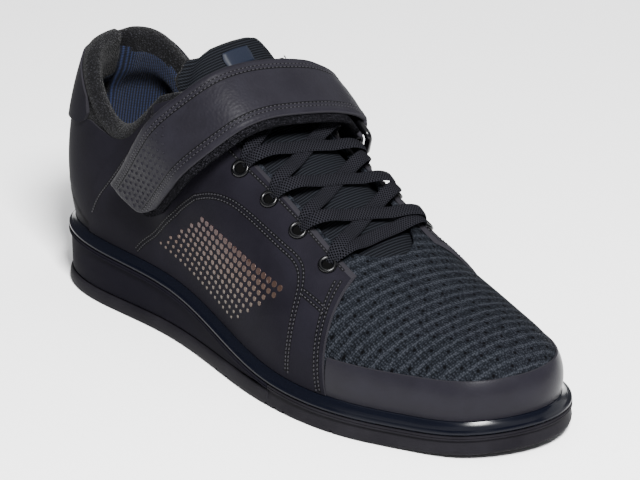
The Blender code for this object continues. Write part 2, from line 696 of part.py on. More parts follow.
def shell(name, sides, first, last, material):
    """Overlay on the upper's own facets, from one of its columns to another."""
    numbers, outer, inner, faces = {}, [], [], []

    def spot(side, c, r):
        """Number of a grid point, shared where the two sides meet."""
        if c in (0, HALF_TURNS) or (r == UPPER_ROWS and CLOSED[c]):
            side = sides[0]
        if (side, c, r) not in numbers:
            numbers[(side, c, r)] = len(outer)
            rise = UPPER_EDGES[side][c] * r / UPPER_ROWS
            outer.append(surface(side, UPPER_TURNS[c], rise, GAP + LEATHER))
            inner.append(surface(side, UPPER_TURNS[c], rise, GAP))
        return numbers[(side, c, r)]

    for side in sides:
        for c in range(first, last):
            for r in range(UPPER_ROWS):
                a, b = spot(side, c, r), spot(side, c + 1, r)
                d, e = spot(side, c, r + 1), spot(side, c + 1, r + 1)
                for face in ((a, b, e), (a, e, d)):
                    faces.append(face if side == LATERAL else face[::-1])
    return thick_sheet(name, faces, outer, inner, material)


def prism(outline, near, far):
    """Cutter: an outline in the side view (x, z), drawn out across the shoe."""
    count = len(outline)
    points = [(x, near, z) for x, z in outline] + [(x, far, z) for x, z in outline]
    faces = [tuple(range(count)), tuple(range(2 * count - 1, count - 1, -1))]
    faces += [(i, i + count, (i + 1) % count + count, (i + 1) % count) for i in range(count)]
    cutter = mesh_object("cutter", points, faces, RUBBER)
    PARTS.objects.unlink(cutter)
    CUTTERS.objects.link(cutter)
    cutter.hide_render = True
    cutter.display_type = "WIRE"
    return cutter


def apply_cut(body, cutters, operation):
    """Booleans of a piece with its cutters, applied."""
    for cutter in cutters:
        cut = body.modifiers.new("cut", "BOOLEAN")
        cut.operation = operation
        cut.solver = "EXACT"
        cut.object = cutter
    graph = bpy.context.evaluated_depsgraph_get()
    mesh = bpy.data.meshes.new_from_object(body.evaluated_get(graph))
    body.modifiers.clear()
    body.data = mesh
    for cutter in cutters:
        bpy.data.objects.remove(cutter, do_unlink=True)
    return body


def build_quarter(name, side, front_column):
    """Smooth side panel with the eyestay, cut from a shell on the upper's facets."""
    front = column(QUARTER_FRONT, front_column)
    stay = lane(side, throat_edge(side) + THROAT_MARGIN)[2]
    outline = [(x * LENGTH, z * HEEL_TOP) for x, z in QUARTER_BACK]
    for share in np.linspace(QUARTER_BACK[-1][0] + 0.02, THROAT_BACK + 0.045, 4):
        outline.append((share * LENGTH, collar_shares[side](share) * HEEL_TOP - COLLAR_BAND))
    start, end = outline[-1][0] + 0.006, float(front(1.0)) * LENGTH
    for x in np.linspace(start, end, 9):
        outline.append((x, float(np.interp(x, stay[:, 0], stay[:, 2]))))
    for rise in (0.7, 0.35, 0.0):
        low = lip(front(rise) * LENGTH) + WELT_HEIGHT + SEAM_MARGIN
        outline.append((front(rise) * LENGTH, low + (outline[12][1] - low) * rise))
    for share in np.linspace(float(front(0.0)) - 0.05, QUARTER_BACK[0][0], 12):
        outline.append((share * LENGTH, lip(share * LENGTH) + WELT_HEIGHT + SEAM_MARGIN))
    columns = [int(turn_of(share) * HALF_TURNS) for share in (QUARTER_BACK[0][0], QUARTER_FRONT[0][2])]
    body = shell(name, (side,), columns[0] - 1, columns[1] + 2, LEATHER_FINISH)
    return apply_cut(body, [prism(outline, ridge_y(end) + side * QUARTER_NEAR, side * BALL_WIDTH)], "INTERSECT")


def build_toe_cap():
    """Smooth guard round the toe, from one quarter to the other."""
    lateral, medial = (share * LENGTH for share in TOE_CAP_ENDS)
    seat = WELT_HEIGHT + SEAM_MARGIN
    outline = []
    for share in (0.70, 0.80, 0.88, 0.94, 1.02):
        outline.append((share * LENGTH, lip(share * LENGTH) + seat))
    for share in (1.02, 0.94, 0.88, 0.80, 0.70):
        outline.append((share * LENGTH, lip(share * LENGTH) + WELT_HEIGHT + TOE_CAP_RISE))
    body = shell("toe_cap", (LATERAL, MEDIAL), int(turn_of(TOE_CAP_ENDS[0]) * HALF_TURNS) - 1, HALF_TURNS,
                 LEATHER_FINISH)
    cutters = [prism(outline, -BALL_WIDTH, BALL_WIDTH)]
    front, low, high = LENGTH * 1.05, -0.01, BALL_WIDTH
    box = [(lateral, low), (front, low), (front, high), (lateral, high)]
    cutters.append(prism(box, -BALL, BALL))
    for point in cutters[1].data.vertices:
        if point.co.x < LENGTH / 2 and point.co.y > 0:
            point.co.x += medial - lateral
    return apply_cut(body, cutters, "INTERSECT")


def build_heel_tab():
    """Smooth tab at the back of the collar."""
    outline = [(x * LENGTH, z * HEEL_TOP) for x, z in HEEL_TAB]
    body = shell("heel_tab", (LATERAL, MEDIAL), 0, HEEL_TAB_COLUMNS, LEATHER_FINISH)
    return apply_cut(body, [prism(outline, -HEEL_WIDTH, HEEL_WIDTH)], "INTERSECT")


def eyelet_spot(side, pair):
    """Place of an eyelet: pair 0 is the lowest."""
    share = EYELET_FRONT[side] - EYELET_PITCH * pair
    _, turn, rise = spot_on(side * throat_edge(side), 0, share * LENGTH)
    points = last_point(side, np.full_like(RISES, turn), RISES)
    run = np.r_[0, np.cumsum(np.linalg.norm(np.diff(points, axis=0), axis=1))]
    return side, turn, float(np.interp(np.interp(rise, RISES, run) - EYELET_MARGIN, run, RISES))


def seat_height(quarter, place, normal):
    """How far a ring on the eyestay must stand off to clear its facets."""
    mesh = quarter.data
    points = [vertex.co - ORIGIN.translation for vertex in mesh.vertices]
    tree = BVHTree.FromPolygons(points, [tuple(face.vertices) for face in mesh.polygons])
    frame = Vector(normal).to_track_quat("Z", "Y").to_matrix()
    heights = []
    for k in range(16):
        angle = 2 * math.pi * k / 16
        for radius in (EYELET_HOLE, EYELET_RADIUS):
            local = frame @ Vector((radius * math.cos(angle), radius * math.sin(angle), 0.02))
            hit, _, _, far = tree.ray_cast(Vector(place) + local, -Vector(normal))
            heights.append(0.02 - far if hit is not None else 0.0)
    return max(heights) + GAP


def build_eyelet(side, pair, quarter):
    """Round rolled eyelet on the eyestay."""
    name = f"eyelet_{'lateral' if side == LATERAL else 'medial'}_{pair + 1}"
    profile = ((EYELET_HOLE, 0.0), (EYELET_RADIUS, 0.0), (EYELET_RADIUS, EYELET_HEIGHT * 0.5),
               (EYELET_RADIUS * 0.74, EYELET_HEIGHT), (EYELET_HOLE, EYELET_HEIGHT * 0.75))
    _, turn, rise = eyelet_spot(side, pair)
    place, normal = last_point(side, turn, rise), last_normal(side, turn, rise)
    seat = place + normal * seat_height(quarter, place, normal)
    frame = Vector(normal).to_track_quat("Z", "Y").to_matrix()
    ring = 10
    points, faces = [], []
    for i in range(ring):
        angle = 2 * math.pi * i / ring
        for radius, height in profile:
            local = Vector((radius * math.cos(angle), radius * math.sin(angle), height))
            points.append(tuple(Vector(seat) + frame @ local))
    count = len(profile)
    for i in range(ring):
        for j in range(count):
            near, far = i * count, (i + 1) % ring * count
            faces.append((near + j, far + j, far + (j + 1) % count, near + (j + 1) % count))
    return mesh_object(name, points, faces, EYELET_METAL)


def strand(tree, first, last, lift):
    """One flat lace between two eyelets, over the eyestays and the tongue."""
    along = 9
    high = LEATHER + EYELET_HEIGHT + GAP * 6 + lift
    ends = [last_point(*eyelet_spot(side, pair)) for side, pair in (first, last)]
    over = unit(np.array(INSTEP_UP))
    middle, normals = [], []
    for share in np.linspace(0.0, 1.0, along):
        base = ends[0] + (ends[1] - ends[0]) * share
        spot, normal, _, _ = tree.ray_cast(Vector(base + over * LAST_HEIGHT), -Vector(over))
        normal = np.array(normal) if normal.dot(Vector(over)) > 0 else -np.array(normal)
        dip = LACE_DIP * blend(0.15, 0.35, share) * blend(0.85, 0.65, share)
        middle.append(np.array(spot) + normal * (high - dip))
        normals.append(normal)
    middle, normals = np.array(middle), np.array(normals)
    for _ in range(2):
        normals[1:-1] = unit(normals[:-2] + normals[1:-1] + normals[2:])
    run = unit(np.gradient(middle, axis=0))
    across = unit(np.cross(normals, run))
    outer, inner = [], []
    for i in range(along):
        for half in (-0.5, 0.5):
            place = middle[i] + across[i] * half * LACE_WIDTH
            inner.append(place)
            outer.append(place + normals[i] * LACE_THICKNESS)
    return thick_sheet("laces", grid_faces(along, 2), outer, inner, LACE_CLOTH)


def build_laces(tree):
    """Bottom bar and crossings, joined where they meet."""
    pieces = [strand(tree, (LATERAL, 0), (MEDIAL, 0), 0.0)]
    for pair in range(EYELET_PAIRS - 1):
        lift = LACE_THICKNESS * (0.35 if pair % 2 == 0 else 0.0)
        pieces.append(strand(tree, (LATERAL, pair), (MEDIAL, pair + 1), lift + LACE_THICKNESS * 0.2))
        pieces.append(strand(tree, (MEDIAL, pair), (LATERAL, pair + 1), lift + LACE_THICKNESS * 0.75))
    return apply_cut(pieces[0], pieces[1:], "UNION")


def last_tree():
    """Search tree of the whole last, for lines cut by planes."""
    turns, rises = np.linspace(0.02, 0.98, 73), np.linspace(0.05, 1.0, 41)
    points, faces = [], []
    for side in (LATERAL, MEDIAL):
        start = len(points)
        for turn in turns:
            points += [tuple(point) for point in last_point(side, np.full_like(rises, turn), rises)]
        quads = [tuple(start + corner for corner in face) for face in grid_faces(len(turns), len(rises))]
        faces += quads if side == MEDIAL else [quad[::-1] for quad in quads]
    return BVHTree.FromPolygons(points, faces)


def clear_of(tree, middle, across, normal, half, need):
    """Middle line moved outwards until its straight rulings clear the last."""
    push, needs = [], need + np.zeros(len(middle))
    for point, ruling, need in zip(middle, across, needs):
        least = need
        for share in np.linspace(-1.0, 1.0, 7):
            spot = Vector(point + ruling * half * share)
            near, face_normal, _, _ = tree.find_nearest(spot)
            least = min(least, (spot - near).dot(face_normal))
        push.append(need - least)
    taut = np.array(push)
    for _ in range(40):
        taut[1:-1] = np.maximum(push[1:-1], (taut[:-2] + taut[2:]) / 2 * 0.97)
    return middle + normal * taut[:, None]


def strap_frame(tree):
    """Middle line of the strap with its rulings and outward normals."""
    scale = np.array([LENGTH, ANKLE_WIDTH, LAST_HEIGHT])
    knots = np.array(STRAP_PATH) * scale
    run = np.r_[0, np.cumsum(np.linalg.norm(np.diff(knots, axis=0), axis=1))]
    at = np.linspace(0.0, run[-1], STRAP_STATIONS)
    middle = np.stack([spline(run, knots[:, k])(at) for k in range(3)], axis=-1)
    for _ in range(2):
        along = unit(np.gradient(middle, axis=0))
        ruling = np.array(STRAP_RULING) - along * (along @ np.array(STRAP_RULING))[:, None]
        ruling = unit(ruling)
        normal = unit(np.cross(ruling, along))
        lacing = (EYELET_HEIGHT + LACE_THICKNESS * 2) * blend(*LACING_REACH, at / run[-1])
        need = LEATHER + GAP * 3 + STRAP_THICKNESS * 1.2 + lacing
        middle = clear_of(tree, middle, ruling, normal, STRAP_WIDTH / 2 + STRAP_STEP, need)
    return middle, along, ruling, normal


def band(name, middle, ruling, normal, shifts, width, thickness, material, ends=None):
    """Flat band of one thickness along a middle line, with straight rulings."""
    across, count = 5, len(middle)
    outer, inner = [], []
    lines = np.hstack([middle, ruling, normal, np.asarray(shifts)[:, None]])
    for j in range(across):
        place = -0.5 + j / (across - 1)
        for i in range(count):
            at = i + (ends(place, i) if ends is not None else 0.0)
            line = np.array([np.interp(at, np.arange(count), lines[:, k]) for k in range(10)])
            spot = line[:3] + line[3:6] * (place * width + line[9])
            outer.append(spot + line[6:9] * thickness / 2)
            inner.append(spot - line[6:9] * thickness / 2)
    return thick_sheet(name, grid_faces(across, count), outer, inner, material)


STRAP_STATIONS = 21


def build_straps(tree):
    """Instep strap: from the lateral side to the ring, round its bar and back over itself."""
    middle, along, ruling, normal = strap_frame(tree)
    run = np.r_[0, np.cumsum(np.linalg.norm(np.diff(middle, axis=0), axis=1))]
    closed = STRAP_THICKNESS / 2 + GAP / 2
    turn = RING_WIRE / 2 + GAP + STRAP_THICKNESS / 2
    apart = closed + (turn - closed) * blend(run[-1] - STRAP_OPENING, run[-1], run)
    cut = column(STRAP_END, 1)
    fade = np.clip(1 - run / (STRAP_WIDTH * 1.5), 0, 1)

    def end(place, i):
        """How many stations the lateral end is drawn in at a place across the strap."""
        return float(cut(place)) * STRAP_WIDTH * fade[i] / run[1]

    bend = np.linspace(0.0, math.pi, 8)[1:]
    round_normal = np.array([along[-1] * math.sin(a) + normal[-1] * math.cos(a) for a in bend])
    round_middle = middle[-1] + round_normal * turn
    upper_middle = np.vstack([middle + normal * apart[:, None], round_middle])
    upper_normal = np.vstack([normal, round_normal])
    upper_ruling = np.vstack([ruling, np.repeat(ruling[-1:], len(bend), axis=0)])
    shifts = np.r_[np.zeros(len(middle)), STRAP_STEP * bend / math.pi]
    fade = np.r_[fade, np.zeros(len(bend))]
    band("strap_upper", upper_middle, upper_ruling, upper_normal, shifts, STRAP_WIDTH, STRAP_THICKNESS,
         LEATHER_FINISH, end)
    lower_middle = middle - normal * apart[:, None]
    lower_middle[-1] -= along[-1] * GAP
    band("strap_lower", lower_middle, ruling, normal, np.full(len(middle), STRAP_STEP), STRAP_WIDTH,
         STRAP_THICKNESS, LOOP_CLOTH, end)
    return middle[-1] + ruling[-1] * STRAP_STEP / 2, ruling[-1]


def build_ring(bar, ruling, down):
    """Rectangular ring with round corners: the strap turns round one bar, the anchor holds the other."""
    half_width, half_depth = STRAP_WIDTH / 2 + STRAP_STEP / 2 + RING_WIRE / 2 + 0.001, RING_DEPTH / 2
    centre = bar + down * half_depth
    out = np.cross(ruling, down)
    path = []
    for quarter in range(4):
        for step in range(4):
            angle = math.pi / 2 * (quarter + step / 3)
            corner = math.pi / 2 * quarter + math.pi / 4
            a = math.copysign(half_width - RING_CORNER, math.cos(corner)) + RING_CORNER * math.cos(angle)
            b = math.copysign(half_depth - RING_CORNER, math.sin(corner)) + RING_CORNER * math.sin(angle)
            path.append((a, b, math.cos(angle), math.sin(angle)))
    section = 8
    points, faces = [], []
    for a, b, level, drop in path:
        for k in range(section):
            angle = 2 * math.pi * k / section
            beside = RING_WIRE / 2 * math.cos(angle)
            points.append(centre + ruling * (a + level * beside) + down * (b + drop * beside)
                          + out * RING_WIRE / 2 * math.sin(angle))
    count = len(path)
    for i in range(count):
        for k in range(section):
            near, far, nxt = i * section, (i + 1) % count * section, (k + 1) % section
            faces.append((near + k, near + nxt, far + nxt, far + k))
    return mesh_object("strap_ring", points, faces, EYELET_METAL)


def build_anchor(tree, bar, ruling, down, out):
    """Tab on the medial quarter that holds the ring: round its lower bar and down the side."""
    low = bar + down * RING_DEPTH
    turn = RING_WIRE / 2 + GAP + ANCHOR_THICKNESS / 2
    middle, normal = [], []
    for angle in np.linspace(-0.5 * math.pi, 0.5 * math.pi, 7):
        way = -down * math.cos(angle) + out * math.sin(angle)
        middle.append(low + way * turn)
        normal.append(way)
    for share in (0.12, 0.30, 0.50, 0.75, 1.0):
        spot = Vector(low + down * ANCHOR_LENGTH * share + out * turn)
        near, face_normal, _, _ = tree.find_nearest(spot)
        near = np.array(near) + np.array(face_normal) * (LEATHER + GAP * 3 + ANCHOR_THICKNESS / 2)
        middle.append(np.array(spot) + (near - np.array(spot)) * blend(0.45, 0.98, share))
        normal.append(unit(out * (1 - share) + np.array(face_normal) * share))
    middle, normal = np.array(middle), np.array(normal)
    rulings = np.repeat(ruling[None], len(middle), axis=0)
    rulings = unit(rulings - normal * (rulings * normal).sum(axis=1)[:, None])
    need = LEATHER + GAP * 2 + ANCHOR_THICKNESS / 2
    middle = clear_of(tree, middle, rulings, normal, ANCHOR_WIDTH / 2, need)
    return band("strap_anchor", middle, rulings, normal, np.zeros(len(middle)), ANCHOR_WIDTH,
                ANCHOR_THICKNESS, LEATHER_FINISH)


def empty_scene():
    """Removes what a new file holds."""
    for thing in list(bpy.data.objects):
        bpy.data.objects.remove(thing, do_unlink=True)


empty_scene()
ORIGIN = Matrix.Translation((-LENGTH / 2, 0.0, 0.0))
PARTS = bpy.data.collections.new("weightlifting_shoe")
bpy.context.scene.collection.children.link(PARTS)
CUTTERS = bpy.data.collections.new("cutters")
bpy.context.scene.collection.children.link(CUTTERS)

RUBBER = finish("outsole_rubber", (0.020, 0.020, 0.022), 0.62)
HEEL_BLOCK = finish("heel_block_plastic", (0.024, 0.021, 0.027), 0.48)
GLOSS_RUBBER = finish("welt_gloss_rubber", (0.005, 0.006, 0.010), 0.16)
FOAM_CLOTH = finish("footbed_cloth", (0.012, 0.012, 0.014), 0.90)
MESH_CLOTH = finish("upper_mesh_cloth", (0.012, 0.013, 0.018), 0.80)
LEATHER_FINISH = finish("coated_leather", (0.022, 0.021, 0.025), 0.45)
EYELET_METAL = finish("eyelet_enamelled_metal", (0.010, 0.010, 0.012), 0.20)
LOOP_CLOTH = finish("strap_loop_cloth", (0.010, 0.010, 0.012), 0.95)
LACE_CLOTH = finish("lace_polyester", (0.016, 0.016, 0.018), 0.85)

LAST = last_tree()
build_outsole()
build_wedge()
build_welt()
build_insole()
build_upper()
build_tongue(LAST)
QUARTERS = {LATERAL: build_quarter("quarter_lateral", LATERAL, 1),
            MEDIAL: build_quarter("quarter_medial", MEDIAL, 2)}
build_toe_cap()
build_heel_tab()
for eyelet_side in (LATERAL, MEDIAL):
    for eyelet_pair in range(EYELET_PAIRS):
        build_eyelet(eyelet_side, eyelet_pair, QUARTERS[eyelet_side])
build_laces(LAST)
strap_bar, strap_ruling = build_straps(LAST)
RING_WAY = unit(np.cross(np.array([0.0, 1.0, RING_TILT]), strap_ruling))
build_ring(strap_bar, strap_ruling, RING_WAY)
build_anchor(LAST, strap_bar, strap_ruling, RING_WAY, np.cross(strap_ruling, RING_WAY))
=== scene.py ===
"""Weightlifting shoe for the right foot: its visual model over the CAD frame.

Frame: +X to the toe, +Y to the medial side, +Z up, metres, origin on the floor under the
middle of the sole. The classes measure x from the back of the heel, as the last's tables
do, and Bench.piece shifts every mesh into the frame.
"""
from __future__ import annotations

import logging
import math
from dataclasses import dataclass, field
from enum import Enum
from typing import Callable, Sequence

import bmesh
import bpy
import numpy as np
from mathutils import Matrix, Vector
from mathutils.bvhtree import BVHTree


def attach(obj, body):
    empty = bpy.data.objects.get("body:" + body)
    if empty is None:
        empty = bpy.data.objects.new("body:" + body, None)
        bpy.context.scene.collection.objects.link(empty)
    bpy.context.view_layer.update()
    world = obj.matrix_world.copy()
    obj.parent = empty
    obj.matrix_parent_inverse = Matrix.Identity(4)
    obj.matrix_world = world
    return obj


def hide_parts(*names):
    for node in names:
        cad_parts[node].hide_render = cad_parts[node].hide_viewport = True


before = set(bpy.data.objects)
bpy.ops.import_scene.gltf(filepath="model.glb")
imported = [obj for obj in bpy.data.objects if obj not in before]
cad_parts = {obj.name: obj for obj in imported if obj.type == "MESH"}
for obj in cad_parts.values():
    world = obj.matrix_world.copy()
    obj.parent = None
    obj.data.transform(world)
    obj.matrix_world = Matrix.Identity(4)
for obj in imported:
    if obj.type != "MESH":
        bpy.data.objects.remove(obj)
log = logging.getLogger("shoe")
Array = np.ndarray
Curve = Callable[[np.ndarray], np.ndarray]
Face = tuple[int, ...]
Socket = bpy.types.NodeSocket
# From the back of the heel to the frame's origin.
HEEL_TO_ORIGIN = 0.150
# A wave texture of scale 1 repeats after this length.
WAVE_UNIT = 0.314159
# The panels end this far above the welt.
SEAT_GAP = 0.0004
# Points nearer than this are one point.
WELD = 1e-6


class Side(Enum):
    """The two sides of the shoe; the value is the sign of y."""

    LATERAL = -1
    MEDIAL = 1


class Slot(Enum):
    """The record's material slots."""

    RUBBER = "outsole_rubber"
    BLOCK = "heel_block_plastic"
    WELT = "welt_rubber"
    FOOTBED = "footbed_cloth"
    CLOTH = "upper_mesh_cloth"
    LEATHER = "coated_leather"
    LACE = "lace_polyester"
    LOOP = "strap_loop_cloth"
    METAL = "enamelled_metal"


def spline(knots: Sequence[float], values: Sequence[float]) -> Curve:
    """Natural cubic spline through the rows of a table.

    Args:
        knots: where the rows stand, rising.
        values: what they hold.
    Returns:
        The spline as a function of the knot.
    """
    knots, values = np.asarray(knots, float), np.asarray(values, float)
    count = len(knots)
    step = np.diff(knots)
    rows, right = np.zeros((count, count)), np.zeros(count)
    rows[0, 0] = rows[-1, -1] = 1.0
    for i in range(1, count - 1):
        rows[i, i - 1:i + 2] = step[i - 1] / 6, (step[i - 1] + step[i]) / 3, step[i] / 6
        ahead = (values[i + 1] - values[i]) / step[i]
        right[i] = ahead - (values[i] - values[i - 1]) / step[i - 1]
    bend = np.linalg.solve(rows, right)

    def value(at: Array) -> Array:
        """The spline's value, held at its ends."""
        at = np.clip(np.asarray(at, float), knots[0], knots[-1])
        i = np.clip(np.searchsorted(knots, at) - 1, 0, count - 2)
        h = step[i]
        a, b = (knots[i + 1] - at) / h, (at - knots[i]) / h
        curl = (a ** 3 - a) * bend[i] + (b ** 3 - b) * bend[i + 1]
        return a * values[i] + b * values[i + 1] + curl * h * h / 6

    return value


def column(table: Sequence[Sequence[float]], index: int) -> Curve:
    """One column of a table as a spline over its first column."""
    return spline([row[0] for row in table], [row[index] for row in table])


def blend(low: float, high: float, at: Array) -> Array:
    """Smooth step from 0 at low to 1 at high."""
    share = np.clip((np.asarray(at, float) - low) / (high - low), 0.0, 1.0)
    return share * share * (3 - 2 * share)


def unit(vectors: Array) -> Array:
    """Vectors scaled to length one."""
    return vectors / np.maximum(np.linalg.norm(vectors, axis=-1, keepdims=True), 1e-12)


def run_of(points: Array) -> Array:
    """Length along a line up to each of its points."""
    return np.r_[0, np.cumsum(np.linalg.norm(np.diff(points, axis=0), axis=1))]


def row_at(at: float | Array, run: Array, rows: Array) -> Array:
    """The row of a table at a place along a run, between its rows in a straight line."""
    return np.stack([np.interp(at, run, rows[:, k]) for k in range(rows.shape[1])], axis=-1)


def curve_at(at: Array, run: Array, rows: Array) -> Array:
    """The row of a table at a place along a run, on a spline through its rows."""
    return np.stack([spline(run, rows[:, k])(at) for k in range(rows.shape[1])], axis=-1)


def resample(points: Array, step: float = 0.001, samples: int = 400) -> Array:
    """Points at an even distance along a smooth curve through the given ones.

    Args:
        points: rows of coordinates, two or three wide.
        step: distance between the new points, about.
        samples: points on the curve that its length is measured with.
    Returns:
        The new points.
    """
    points = np.asarray(points, float)
    run = run_of(points)
    dense = (curve_at if len(points) > 2 else row_at)(np.linspace(0, run[-1], samples), run, points)
    length = run_of(dense)
    return row_at(np.linspace(0, length[-1], max(2, round(length[-1] / step) + 1)), length, dense)


def circle(count: int) -> list[float]:
    """Even angles round a circle."""
    return [2 * math.pi * k / count for k in range(count)]


def grid_faces(rows: int, columns: int) -> list[Face]:
    """Quads of a grid whose points are numbered row by row."""
    return [(r * columns + c, r * columns + c + 1, (r + 1) * columns + c + 1, (r + 1) * columns + c)
            for r in range(rows - 1) for c in range(columns - 1)]


def tube_faces(rings: int, section: int, closed: bool = False, capped: bool = False) -> list[Face]:
    """Faces of a tube whose points are numbered ring by ring.

    Args:
        rings: how many rings.
        section: how many points each ring has.
        closed: joins the last ring to the first.
        capped: closes both ends.
    Returns:
        The faces.
    """
    faces: list[Face] = []
    for r in range(rings if closed else rings - 1):
        low, high = r * section, (r + 1) % rings * section
        for k in range(section):
            n = (k + 1) % section
            faces.append((low + k, low + n, high + n, high + k))
    if capped:
        faces += [tuple(range(section - 1, -1, -1)), tuple(range((rings - 1) * section, rings * section))]
    return faces


def drum_faces(count: int) -> list[Face]:
    """Faces of a flat drum: one outline, then the other."""
    faces = [tuple(range(count)), tuple(range(2 * count - 1, count - 1, -1))]
    return faces + [(i, i + count, (i + 1) % count + count, (i + 1) % count) for i in range(count)]


def weld(points: Array, faces: Sequence[Face]) -> tuple[Array, list[Face]]:
    """Numbers of the points to keep where some coincide, and the faces drawn on those."""
    _, keep, same = np.unique(np.round(points, 7), axis=0, return_index=True, return_inverse=True)
    same = same.ravel()
    return keep, [tuple(int(same[c]) for c in face) for face in faces]


def both_sides(uv: Array, total: int) -> Array:
    """The u and v of a sheet's solid: outside, inside, and zero round the edge."""
    return np.vstack([uv, uv, np.zeros((total - 2 * len(uv), 2))])


@dataclass
class Heap:
    """Points and faces of many forms, numbered as one mesh."""

    points: list[Array] = field(default_factory=list)
    faces: list[Face] = field(default_factory=list)
    kinds: list[int] = field(default_factory=list)

    def put(self, points: Array, faces: Sequence[Face], kind: int = 0) -> None:
        """Adds one form, whose faces number its own points from 0."""
        start = sum(len(p) for p in self.points)
        self.points.append(np.asarray(points, float))
        self.faces += [tuple(start + corner for corner in face) for face in faces]
        self.kinds += [kind] * len(faces)


